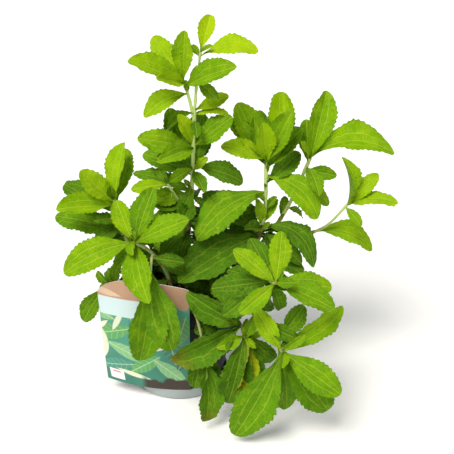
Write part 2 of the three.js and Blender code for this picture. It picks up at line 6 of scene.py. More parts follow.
import bpy
import numpy as np
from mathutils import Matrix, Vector

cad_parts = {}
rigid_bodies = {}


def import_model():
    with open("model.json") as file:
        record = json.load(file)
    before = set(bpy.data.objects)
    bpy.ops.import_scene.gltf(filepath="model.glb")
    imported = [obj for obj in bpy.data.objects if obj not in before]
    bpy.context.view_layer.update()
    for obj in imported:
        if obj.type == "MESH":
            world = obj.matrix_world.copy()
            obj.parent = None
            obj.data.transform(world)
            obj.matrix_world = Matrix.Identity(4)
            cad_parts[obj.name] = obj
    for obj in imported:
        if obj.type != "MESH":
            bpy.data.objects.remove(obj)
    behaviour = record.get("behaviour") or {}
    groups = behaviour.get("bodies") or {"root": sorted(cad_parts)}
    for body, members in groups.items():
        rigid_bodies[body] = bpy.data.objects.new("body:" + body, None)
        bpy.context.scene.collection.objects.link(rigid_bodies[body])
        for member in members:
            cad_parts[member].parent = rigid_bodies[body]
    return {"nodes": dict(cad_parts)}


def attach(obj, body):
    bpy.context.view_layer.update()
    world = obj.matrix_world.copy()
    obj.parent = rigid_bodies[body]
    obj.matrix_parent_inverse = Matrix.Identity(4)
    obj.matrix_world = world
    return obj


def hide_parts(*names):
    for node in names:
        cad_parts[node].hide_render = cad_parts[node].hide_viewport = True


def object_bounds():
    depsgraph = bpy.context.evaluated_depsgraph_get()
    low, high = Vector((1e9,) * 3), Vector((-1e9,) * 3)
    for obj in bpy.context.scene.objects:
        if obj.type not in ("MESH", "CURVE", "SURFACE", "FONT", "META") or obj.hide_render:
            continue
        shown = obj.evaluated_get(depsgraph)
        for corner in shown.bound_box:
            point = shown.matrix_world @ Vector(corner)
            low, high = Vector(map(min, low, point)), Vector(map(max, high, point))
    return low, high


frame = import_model()
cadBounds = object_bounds()
scene = bpy.context.scene
mm = 0.001
cadLow, cadHigh = (np.array(corner) / mm for corner in cadBounds)
print("frame loaded:", len(frame["nodes"]), "nodes")

# The camera looks along +Y and down; its focal length is in pixels of a frame so many pixels wide
cameraPlan = dict(place=(46, -773, 483), tiltDown=22.7, focal=900, frameWidth=454, sensor=36)


def setCamera(plan):
    data = bpy.data.cameras.new("camera")
    data.sensor_width = plan["sensor"]
    data.lens = plan["focal"] / plan["frameWidth"] * plan["sensor"]
    data.clip_start, data.clip_end = 0.01, 100
    camera = bpy.data.objects.new("camera", data)
    camera.location = Vector(plan["place"]) * mm
    camera.rotation_euler = (math.radians(90 - plan["tiltDown"]), 0, 0)
    scene.collection.objects.link(camera)
    scene.camera = camera


setCamera(cameraPlan)


def linearColour(hexText):  # sRGB hex to the linear colour that a shader takes
    channels = [int(hexText[i:i + 2], 16) / 255 for i in (0, 2, 4)]
    return [c / 12.92 if c <= 0.04045 else ((c + 0.055) / 1.055) ** 2.4 for c in channels] + [1]


nodeFamilies = ("ShaderNode", "GeometryNode", "FunctionNode", "Node")


# Adds a node and returns one of its outputs, or the node itself with out=None. Its kind is Blender's name
# for it without the family in front, and may end in an operation, as in "Math:ADD". Feeds are sockets,
# lists of sockets for a join, or plain values, by the place or the name of the input. A colour is sRGB hex.
def addNode(tree, kind, feeds=(), out=0, **settings):
    kind, _, operation = kind.partition(":")
    family = next(family for family in nodeFamilies if hasattr(bpy.types, family + kind))
    node = tree.nodes.new(family + kind)
    if operation:
        node.operation = operation
    for name, value in settings.items():
        setattr(node, name, value)
    for key, value in feeds.items() if isinstance(feeds, dict) else enumerate(feeds):
        isJoin = isinstance(value, list) and isinstance(value[0], bpy.types.NodeSocket)
        for feed in value if isJoin else [value]:
            if isinstance(feed, bpy.types.NodeSocket):
                tree.links.new(feed, node.inputs[key])
            elif node.inputs[key].type == "RGBA":
                node.inputs[key].default_value = linearColour(feed)
            else:
                node.inputs[key].default_value = feed
    return node if out is None else node.outputs[out]


mixColours = dict(out=2, data_type="RGBA")  # a Mix node's share is its input 0, its colours are 6 and 7


def newMaterial(name):  # an empty shader tree with its output node
    material = bpy.data.materials.new(name)
    material.use_nodes = True
    material.node_tree.nodes.clear()
    return material, material.node_tree, material.node_tree.nodes.new("ShaderNodeOutputMaterial")


def newTree(name, inputs):  # a geometry tree whose named inputs start from the values of a dictionary
    tree = bpy.data.node_groups.new(name, "GeometryNodeTree")
    kinds = {int: "NodeSocketInt", float: "NodeSocketFloat", bpy.types.Material: "NodeSocketMaterial"}
    tree.interface.new_socket("Geometry", in_out="INPUT", socket_type="NodeSocketGeometry")
    tree.interface.new_socket("Geometry", in_out="OUTPUT", socket_type="NodeSocketGeometry")
    for label, value in inputs.items():
        tree.interface.new_socket(label, in_out="INPUT", socket_type=kinds[type(value)])
    group = tree.nodes.new("NodeGroupInput")
    return tree, {socket.name: socket for socket in group.outputs if socket.name}


def meshObject(name, points, faces=(), edges=()):  # points in millimetres
    mesh = bpy.data.meshes.new(name)
    mesh.from_pydata([tuple(p * mm for p in point) for point in points], list(edges), list(faces))
    made = bpy.data.objects.new(name, mesh)
    scene.collection.objects.link(made)
    return made


def storeValues(mesh, name, values):  # a named attribute on the points: numbers or vectors
    isVector = np.ndim(values) > 1
    attribute = mesh.attributes.new(name, "FLOAT_VECTOR" if isVector else "FLOAT", "POINT")
    attribute.data.foreach_set("vector" if isVector else "value", np.array(values, np.float32).ravel())


def finished(source):  # the object with its modifiers turned into its mesh
    evaluated = source.evaluated_get(bpy.context.evaluated_depsgraph_get())
    mesh = bpy.data.meshes.new_from_object(evaluated)
    name = source.name
    bpy.data.objects.remove(source)
    made = bpy.data.objects.new(name, mesh)
    mesh.name = name
    scene.collection.objects.link(made)
    return made


# Runs a geometry tree on an object and returns the result as a plain mesh object of the same name
def grown(source, tree, inputs):
    modifier = source.modifiers.new("grow", "NODES")
    modifier.node_group = tree
    for item in tree.interface.items_tree:
        if item.in_out == "INPUT" and item.name in inputs:
            modifier[item.identifier] = inputs[item.name]
    return finished(source)


def smoothed(piece, angle=32):  # smooth shading that keeps the corners sharper than the angle
    piece.data.shade_smooth()
    piece.data.set_sharp_from_angle(angle=math.radians(angle))


def triangles(piece):
    return sum(len(polygon.vertices) - 2 for polygon in piece.data.polygons)


def dress(piece, slot, *nodes):  # a finished piece that stands for CAD nodes
    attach(piece, "root")
    if nodes:
        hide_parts(*nodes)
    print("made:", piece.name, triangles(piece), "triangles")


def unit(vector):
    return vector / np.linalg.norm(vector)


# The holder's measures, as the CAD model has them; the card's sides are in degrees round its curve
gap = 0.3
saucer = dict(baseRadius=43, rimRadius=47, height=12, thickness=1.6, footWidth=3.4, footDepth=0.6,
              lipRound=0.45)
pot = dict(footRadius=40, rimRadius=62, height=95, wall=1.6, floor=2, bandHeight=9, bandStep=1.4, edge=0.8,
           beadDrop=14, beadHeight=1.6, beadDepth=0.5)
drain = dict(count=5, radius=4, ring=27, sides=28)
soil = dict(depthBelowRim=8, lump=1.4, shoulder=1.5)
card = dict(curveRadius=150, thickness=0.8, bottom=12.3, leftCorner=120, rightCorner=130, peak=137,
            middle=267, leftBottom=30, leftTop=25.5, right=6, cornerCut=1.5, columns=48, rows=40)
roundSides = 128
seat = saucer["thickness"] + gap
rimTop = seat + pot["height"]
soilTop = rimTop - soil["depthBelowRim"]
leanHeight = rimTop - pot["bandHeight"]
leanRadius = pot["rimRadius"] - pot["edge"] + gap
cardLean = (leanRadius - (saucer["rimRadius"] - 1)) / (leanHeight - card["bottom"])
cardMiddle = math.radians(card["middle"])
cardCentre = np.array([math.cos(cardMiddle), math.sin(cardMiddle)]) * (leanRadius - card["curveRadius"])


def wallRadius(z):
    spread = pot["rimRadius"] - pot["bandStep"] - pot["footRadius"]
    return pot["footRadius"] + spread * (z - seat) / pot["height"]


def cardRadius(z):
    return card["curveRadius"] + (z - leanHeight) * cardLean


def cardLeft(z):
    share = np.minimum((z - card["bottom"]) / (card["leftCorner"] - card["bottom"]), 1)
    return -(card["leftBottom"] + (card["leftTop"] - card["leftBottom"]) * share)


# Turns a profile of [radius, height, rounding] corners, from the axis out, up and back to the axis
def turnedObject(name, corners, sides, steps=4):
    profile = []
    for i, (radius, z, rounding) in enumerate(corners):
        here = np.array([radius, z], float)
        if not rounding:
            profile.append(here)
            continue
        before, after = (np.array(corners[i + way][:2], float) for way in (-1, 1))
        start, end = (here + unit(neighbour - here) * rounding for neighbour in (before, after))
        for share in np.arange(steps + 1) / steps:
            profile.append(start * (1 - share) ** 2 + 2 * here * share * (1 - share) + end * share ** 2)
    points, faces, rings = [], [], []
    for radius, z in profile:
        count = sides if radius > 0 else 1
        rings.append([len(points) + k for k in range(count)])
        turns = 2 * math.pi * np.arange(count) / sides
        points += [(radius * math.cos(turn), radius * math.sin(turn), z) for turn in turns]
    for low, high in zip(rings, rings[1:]):
        for k in range(sides):
            quad = [low[k % len(low)], low[(k + 1) % len(low)],
                    high[(k + 1) % len(high)], high[k % len(high)]]
            faces.append(list(dict.fromkeys(quad)))  # a triangle where a ring is one point
    return meshObject(name, points, faces)


# Moulded polypropylene: a satin skin with the faint orange peel of its mould, and dust that dulls it
def mouldedPlastic(name, look):
    material, tree, output = newMaterial(name)
    place = addNode(tree, "TexCoord", out="Object")
    peel = addNode(tree, "TexNoise", {"Vector": place, "Scale": look["peelPerMetre"], "Detail": 2.0})
    clouds = addNode(tree, "TexNoise", {"Vector": place, "Scale": look["cloudsPerMetre"], "Detail": 5.0})
    dust = addNode(tree, "MapRange", [clouds, 0.42, 0.68, 0, look["dust"]])
    skin = addNode(tree, "Mix", {0: dust, 6: look["colour"], 7: look["dustColour"]}, **mixColours)
    roughness = addNode(tree, "MapRange", [clouds, 0.3, 0.7, look["gloss"], look["gloss"] + 0.15])
    normal = addNode(tree, "Bump", {"Strength": 0.25, "Distance": 0.0002, "Height": peel})
    surface = addNode(tree, "BsdfPrincipled", {
        "Base Color": skin, "Roughness": roughness, "IOR": 1.49, "Specular IOR Level": look["shine"],
        "Normal": normal})
    tree.links.new(surface, output.inputs["Surface"])
    return material


# The peel is 0.7 to 0.9 mm wide, coarser than a mould leaves it, because that would be too fine to show.
# The dust lies in clouds of about 22 mm.
saucerPlastic = dict(colour="A3ADAE", dustColour="8C8F86", dust=0.25, gloss=0.32, shine=0.5,
                     peelPerMetre=1500.0, cloudsPerMetre=45.0)
# The pot is charcoal, painted darker than its plastic is: painted shade for the deep shadow under the
# foliage
potPlastic = dict(colour="121415", dustColour="3E3A32", dust=0.2, gloss=0.42, shine=0.2,
                  peelPerMetre=1100.0, cloudsPerMetre=45.0)


def makeSaucer():
    inner = saucer["baseRadius"] - saucer["thickness"]
    lift, rim = saucer["footDepth"], saucer["rimRadius"]
    piece = turnedObject("saucerDish", [
        (0, lift, 0), (saucer["baseRadius"] - saucer["footWidth"] - lift, lift, 0.3),
        (saucer["baseRadius"] - saucer["footWidth"], 0, 0.2), (saucer["baseRadius"], 0, 0.9),
        (rim, saucer["height"], saucer["lipRound"]),
        (rim - saucer["thickness"], saucer["height"], saucer["lipRound"]),
        (inner + 0.5, saucer["thickness"], 1.0), (0, saucer["thickness"], 0),
    ], roundSides)
    smoothed(piece)
    piece.data.materials.append(mouldedPlastic("lightGreyPlastic", saucerPlastic))
    dress(piece, "saucer_plastic", "saucer")


def makePot():
    bandFoot, floorTop = rimTop - pot["bandHeight"], seat + pot["floor"]
    beadTop = rimTop - pot["beadDrop"]
    beadMiddle, beadFoot = beadTop - pot["beadHeight"] / 2, beadTop - pot["beadHeight"]
    piece = turnedObject("potShell", [
        (0, seat, 0), (pot["footRadius"], seat, pot["edge"]),
        (wallRadius(beadFoot), beadFoot, 0.3), (wallRadius(beadMiddle) + pot["beadDepth"], beadMiddle, 0.5),
        (wallRadius(beadTop), beadTop, 0.3), (wallRadius(bandFoot), bandFoot, 0.4),
        (pot["rimRadius"] - pot["edge"], bandFoot, 0.35), (pot["rimRadius"], rimTop, pot["edge"]),
        (wallRadius(rimTop) - pot["wall"], rimTop, 0.6),
        (wallRadius(floorTop) - pot["wall"], floorTop, 0.3), (0, floorTop, 0),
    ], roundSides)
    drills, faces = [], []
    turns = 2 * math.pi * np.arange(drain["sides"]) / drain["sides"]
    for i in range(drain["count"]):
        heading = 2 * math.pi * i / drain["count"]
        x = drain["ring"] * math.cos(heading) + drain["radius"] * np.cos(turns)
        y = drain["ring"] * math.sin(heading) + drain["radius"] * np.sin(turns)
        first = len(drills)
        for z in (seat - 1, floorTop + 1):
            drills += [(*spot, z) for spot in zip(x, y)]
        low = [first + k for k in range(drain["sides"])]
        high = [k + drain["sides"] for k in low]
        faces += [low[::-1], high]
        faces += [(low[k - 1], low[k], high[k], high[k - 1]) for k in range(drain["sides"])]
    drill = meshObject("drill", drills, faces)
    cut = piece.modifiers.new("drainHoles", "BOOLEAN")
    cut.operation, cut.solver, cut.object = "DIFFERENCE", "EXACT", drill
    piece = finished(piece)
    bpy.data.objects.remove(drill)
    smoothed(piece)
    piece.data.materials.clear()
    # Charcoal plastic, darkened as painted shade
    piece.data.materials.append(mouldedPlastic("charcoalPlasticDarkenedForShade", potPlastic))
    dress(piece, "pot_plastic", "pot")


# Peat mix: near black where it is wet, with brown fibres and pale grains of perlite. Its grains are about
# 1.4 mm wide, its clods 9 mm and the dents in a crumb 2 mm.
peat = dict(wet="1E1511", dry="4A3526", fibre="6E5236", perlite="D8D3C6", grainsPerMetre=700.0,
            clodsPerMetre=110.0)
crumbLook = {"Crumbs per square metre": 260000.0, "Crumb radius": 1.15 * mm, "Roughness": 1.3 * mm,
             "Perlite share": 0.05, "Seed": 11}
crumbRange = dict(size=((0.5, 0.5, 0.4), (1.7, 1.2, 1.0)), turn=((0, 0, 0), (6.3, 6.3, 6.3)))
dentsPerMetre = 500.0
soilRings = 12


def peatMaterial(look):
    material, tree, output = newMaterial("peatMix")
    place = addNode(tree, "TexCoord", out="Object")
    pale = addNode(tree, "Attribute", out="Fac", attribute_name="perlite")
    grains = addNode(tree, "TexNoise", {
        "Vector": place, "Scale": look["grainsPerMetre"], "Detail": 4.0})
    clods = addNode(tree, "TexNoise", {"Vector": place, "Scale": look["clodsPerMetre"], "Detail": 3.0})
    dryness = addNode(tree, "MapRange", [clods, 0.35, 0.65, 0, 1])
    skin = addNode(tree, "Mix", {0: dryness, 6: look["wet"], 7: look["dry"]}, **mixColours)
    fibres = addNode(tree, "MapRange", [grains, 0.55, 0.7, 0, 0.7])
    skin = addNode(tree, "Mix", {0: fibres, 6: skin, 7: look["fibre"]}, **mixColours)
    skin = addNode(tree, "Mix", {0: pale, 6: skin, 7: look["perlite"]}, **mixColours)
    normal = addNode(tree, "Bump", {"Strength": 0.9, "Distance": 0.0008, "Height": grains})
    surface = addNode(tree, "BsdfPrincipled", {
        "Base Color": skin, "Roughness": 0.9, "Specular IOR Level": 0.25, "Normal": normal})
    tree.links.new(surface, output.inputs["Surface"])
    return material


def crumbTree(look):  # loose crumbs on the soil's top, each with its own size, turn and dents
    tree, given = newTree("soilCrumbs", look)
    spots = addNode(tree, "DistributePointsOnFaces", {
        "Mesh": given["Geometry"], "Density": given["Crumbs per square metre"], "Seed": given["Seed"]})
    crumb = addNode(tree, "MeshIcoSphere", {"Radius": given["Crumb radius"], "Subdivisions": 1})
    size, turn = (addNode(tree, "RandomValue", {0: least, 1: most, "Seed": given["Seed"]},
                          data_type="FLOAT_VECTOR")
                  for least, most in (crumbRange["size"], crumbRange["turn"]))
    turn = addNode(tree, "EulerToRotation", [turn])
    crumbs = addNode(tree, "InstanceOnPoints", {
        "Points": spots, "Instance": crumb, "Rotation": turn, "Scale": size})
    isPerlite = addNode(tree, "RandomValue", {
        "Probability": given["Perlite share"], "Seed": given["Seed"]}, out=3, data_type="BOOLEAN")
    crumbs = addNode(tree, "StoreNamedAttribute", {
        "Geometry": crumbs, "Name": "perlite", "Value": isPerlite}, data_type="FLOAT", domain="INSTANCE")
    crumbs = addNode(tree, "RealizeInstances", [crumbs])
    dents = addNode(tree, "TexNoise", {"Scale": dentsPerMetre, "Detail": 1.0}, out=1)
    dents = addNode(tree, "VectorMath:SUBTRACT", [dents, (0.5, 0.5, 0.5)])
    dents = addNode(tree, "VectorMath:SCALE", {0: dents, "Scale": given["Roughness"]})
    crumbs = addNode(tree, "SetPosition", {"Geometry": crumbs, "Offset": dents})
    crumbs = addNode(tree, "RealizeInstances", [crumbs])
    crumbs = addNode(tree, "SetMaterial", {"Geometry": crumbs, "Material": given["Material"]})
    addNode(tree, "GroupOutput", [crumbs], out=None)
    return tree


def makeSoil():
    look = crumbLook | {"Material": peatMaterial(peat)}
    for i in range(len(frame["nodes"]["soil"].data.materials)):
        frame["nodes"]["soil"].data.materials[i] = look["Material"]
    edge = wallRadius(soilTop) - pot["wall"] - 2 * soil["shoulder"]
    points, faces = [], []
    for ring in range(soilRings + 1):
        for k in range(roundSides):
            radius, turn = edge * max(ring, 0.2) / soilRings, 2 * math.pi * k / roundSides
            x, y = radius * math.cos(turn), radius * math.sin(turn)
            lump = soil["lump"] * math.sin(x / 5 + 1) * math.cos(y / 6 - x / 11)  # the packed soil's own
            points.append((x, y, soilTop + lump))
            if ring:
                a, b = (ring - 1) * roundSides + k, (ring - 1) * roundSides + (k + 1) % roundSides
                faces.append((a, a + roundSides, b + roundSides, b))
    dress(grown(meshObject("soilCrumbs", points, faces), crumbTree(look), look), "potting_soil")


# Coated card printed with scattered leaves, each motif as (x, y, turn, half length, half width, colour):
# millimetres from the card's middle line and its foot, on its flat sheet. The panels stay blank. A fade is
# where one ground turns into the next, and a wash of 17 mm patches shifts it by so many millimetres. Fibres
# are drawn 1.1 mm wide, because the real ones are too fine to show.
printing = dict(
    groundLow="2C7563", groundHigh="4C9F84", groundFade=(30, 120), groundShift=60.0,
    band="C8A283", bandShade="AE8468", bandFade=(110, 113), bandShift=26.0,
    strip="38291F", stripFade=(27, 24), stripSide=(-36, -30), washPerMm=0.06,
    back="DAD7CE", core="F2F0EA", rib="CFE3B4", ribWidth=0.09, sideRibs=3.5, fibresPerMetre=900.0,
    leaves=[
        (-70, 84, 155, 17, 8, "7FB77E"), (-60, 62, 20, 24, 9, "58A05A"), (-74, 44, 80, 19, 7, "DCE0C4"),
        (-30, 66, 118, 22, 9, "3E8E7A"), (-46, 40, 160, 25, 8, "7FB77E"), (-12, 84, 60, 19, 9, "1F6B58"),
        (-62, 22, 12, 22, 8, "3E8E7A"), (-30, 28, 35, 21, 8, "58A05A"), (-2, 52, 100, 22, 10, "2C8069"),
        (-52, 76, 60, 15, 3, "DCE0C4"), (-22, 48, 10, 20, 3, "E6E2CC"), (-44, 14, 170, 20, 3, "DCE0C4"),
        (-4, 22, 140, 22, 8, "7FB77E"), (8, 70, 75, 18, 8, "58A05A"), (-72, 66, 40, 13, 3, "E6E2CC"),
        (-16, 104, 10, 15, 4, "A97F62"), (-60, 108, 170, 17, 4, "D9B79A"), (10, 36, 60, 15, 6, "1F6B58"),
    ],
    panels=[
        (-47, 92, 0, 22, 10.5, "CFE3E6"), (-64, 9.5, 0, 9, 6, "F4F3EF"), (-64, 12.6, 0, 6, 1.1, "D8606A"),
    ])


# How much of a motif covers each spot of the print, and how much its ribs show there
def printMotif(tree, at, motif, isLeaf):
    x, y, turn, halfLength, halfWidth, _ = motif
    local = addNode(tree, "Mapping", {
        "Vector": at, "Location": (x, y, 0), "Rotation": (0, 0, math.radians(turn)),
        "Scale": (halfLength, halfWidth, 1)}, vector_type="TEXTURE")
    along, across, _ = addNode(tree, "SeparateXYZ", [local], out=None).outputs
    fromMiddle = addNode(tree, "Math:ABSOLUTE", [across])
    if isLeaf:
        reach = addNode(tree, "Math:MULTIPLY_ADD", [along, along, fromMiddle])
    else:
        fromCentre = addNode(tree, "Math:ABSOLUTE", [along])
        reach = addNode(tree, "Math:MAXIMUM", [fromCentre, fromMiddle])
    cover = addNode(tree, "MapRange", [reach, 1.0, 1.0 - 0.5 / halfWidth, 0, 1])
    rib = addNode(tree, "MapRange", [fromMiddle, 0.0, printing["ribWidth"], 0.75, 0])
    sideRibs = addNode(tree, "Math:MULTIPLY_ADD", [along, printing["sideRibs"], fromMiddle])
    sideRibs = addNode(tree, "Math:FRACT", [sideRibs])
    sideRibs = addNode(tree, "MapRange", [sideRibs, 0.0, 0.14, 0.45, 0])
    ribs = addNode(tree, "Math:MAXIMUM", [rib, sideRibs])
    return cover, addNode(tree, "Math:MULTIPLY", [cover, ribs])


# A coated sheet: its front takes a soft highlight, its back is plain and its cut edge is pale
def cardMaterial(look):
    material, tree, output = newMaterial("coatedCard")
    at = addNode(tree, "Attribute", out="Vector", attribute_name="print")
    x, y, side = addNode(tree, "SeparateXYZ", [at], out=None).outputs
    flat = addNode(tree, "CombineXYZ", [x, y])
    wash = addNode(tree, "TexNoise", {"Vector": flat, "Scale": look["washPerMm"], "Detail": 3.0})
    height = addNode(tree, "Math:MULTIPLY_ADD", [wash, look["groundShift"], y])
    rise = addNode(tree, "MapRange", [height, *look["groundFade"], 0, 1])
    ink = addNode(tree, "Mix", {0: rise, 6: look["groundLow"], 7: look["groundHigh"]}, **mixColours)
    ragged = addNode(tree, "Math:MULTIPLY_ADD", [wash, look["bandShift"], y])
    band = addNode(tree, "MapRange", [ragged, *look["bandFade"], 0, 1])
    bandShade = addNode(tree, "TexNoise", {"Vector": flat, "Scale": 1.5 * look["washPerMm"], "Detail": 2.0})
    bandInk = addNode(tree, "Mix", {0: bandShade, 6: look["bandShade"], 7: look["band"]}, **mixColours)
    ink = addNode(tree, "Mix", {0: band, 6: ink, 7: bandInk}, **mixColours)
    for motif in look["leaves"]:
        cover, ribs = printMotif(tree, flat, motif, True)
        ink = addNode(tree, "Mix", {0: cover, 6: ink, 7: motif[-1]}, **mixColours)
        ink = addNode(tree, "Mix", {0: ribs, 6: ink, 7: look["rib"]}, **mixColours)
    low = addNode(tree, "MapRange", [ragged, *look["stripFade"], 0, 1])
    right = addNode(tree, "MapRange", [x, *look["stripSide"], 0, 1])
    strip = addNode(tree, "Math:MULTIPLY", [low, right])
    ink = addNode(tree, "Mix", {0: strip, 6: ink, 7: look["strip"]}, **mixColours)
    for motif in look["panels"]:
        cover, _ = printMotif(tree, flat, motif, False)
        ink = addNode(tree, "Mix", {0: cover, 6: ink, 7: motif[-1]}, **mixColours)
    onFront = addNode(tree, "MapRange", [side, 0.9, 0.99, 0, 1])
    onBack = addNode(tree, "MapRange", [side, 0.1, 0.01, 0, 1])
    skin = addNode(tree, "Mix", {0: onFront, 6: look["core"], 7: ink}, **mixColours)
    skin = addNode(tree, "Mix", {0: onBack, 6: skin, 7: look["back"]}, **mixColours)
    place = addNode(tree, "TexCoord", out="Object")
    fibre = addNode(tree, "TexNoise", {
        "Vector": place, "Scale": look["fibresPerMetre"], "Detail": 3.0})
    normal = addNode(tree, "Bump", {"Strength": 0.12, "Distance": 0.0001, "Height": fibre})
    surface = addNode(tree, "BsdfPrincipled", {
        "Base Color": skin, "Roughness": 0.45, "IOR": 1.47, "Normal": normal})
    tree.links.new(surface, output.inputs["Surface"])
    return material


def makeCard():
    columns, rows = card["columns"], card["rows"]
    share = np.repeat(np.arange(columns + 1) / columns, rows + 1)
    rise = np.tile(np.arange(rows + 1) / rows, columns + 1)
    corner = card["leftCorner"] + (card["rightCorner"] - card["leftCorner"]) * share
    top = (corner - card["cornerCut"] * np.abs(2 * share - 1) ** 12
           + (card["peak"] - corner) * np.sin(math.pi * share) ** 0.8)
    z = card["bottom"] + (top - card["bottom"]) * rise
    turn = np.radians(cardLeft(z) * (1 - share) + card["right"] * share)
    points, printed = [], []
    for side in (1, 0):
        radius = cardRadius(z) + card["thickness"] * side
        x = cardCentre[0] + radius * np.cos(cardMiddle + turn)
        y = cardCentre[1] + radius * np.sin(cardMiddle + turn)
        points += list(zip(x, y, z))
        printed += list(zip(turn * card["curveRadius"], z - card["bottom"], 0 * z + side))
    sheet, column = len(z), rows + 1
    faces = []
    for i in range(columns):
        for j in range(rows):
            a = i * column + j
            quad = (a, a + column, a + column + 1, a + 1)
            faces += [quad, tuple(corner + sheet for corner in quad[::-1])]
    border = [i * column for i in range(columns)] + [columns * column + j for j in range(rows)]
    border += [i * column + rows for i in range(columns, 0, -1)] + list(range(rows, 0, -1))
    faces += [(a, a + sheet, b + sheet, b) for a, b in zip(border, border[1:] + border[:1])]
    piece = meshObject("cardSheet", points, faces)
    storeValues(piece.data, "print", printed)
    smoothed(piece)
    piece.data.materials.append(cardMaterial(printing))
    dress(piece, "printed_card", "label_card")


makeSaucer()
makePot()
makeSoil()
makeCard()

# What every blade starts from. Half its width, its stalk's half width and its edge's wave are shares of its
# length, swell sets its widest place past the middle, the fold is in degrees, and the side veins lie at a
# share of the half width. Widths and folds then vary by the last two.
blade = dict(widthShare=0.215, swell=1.32, stalk=0.012, fold=16, wave=0.02, waves=1.6, waveLean=0.2,
             sideVein=0.42, widths=(0.94, 1.12), folds=(0.6, 1.3))
frontLight, backLight = (0, -0.95, 0.65), (0, 0.3, 0.9)
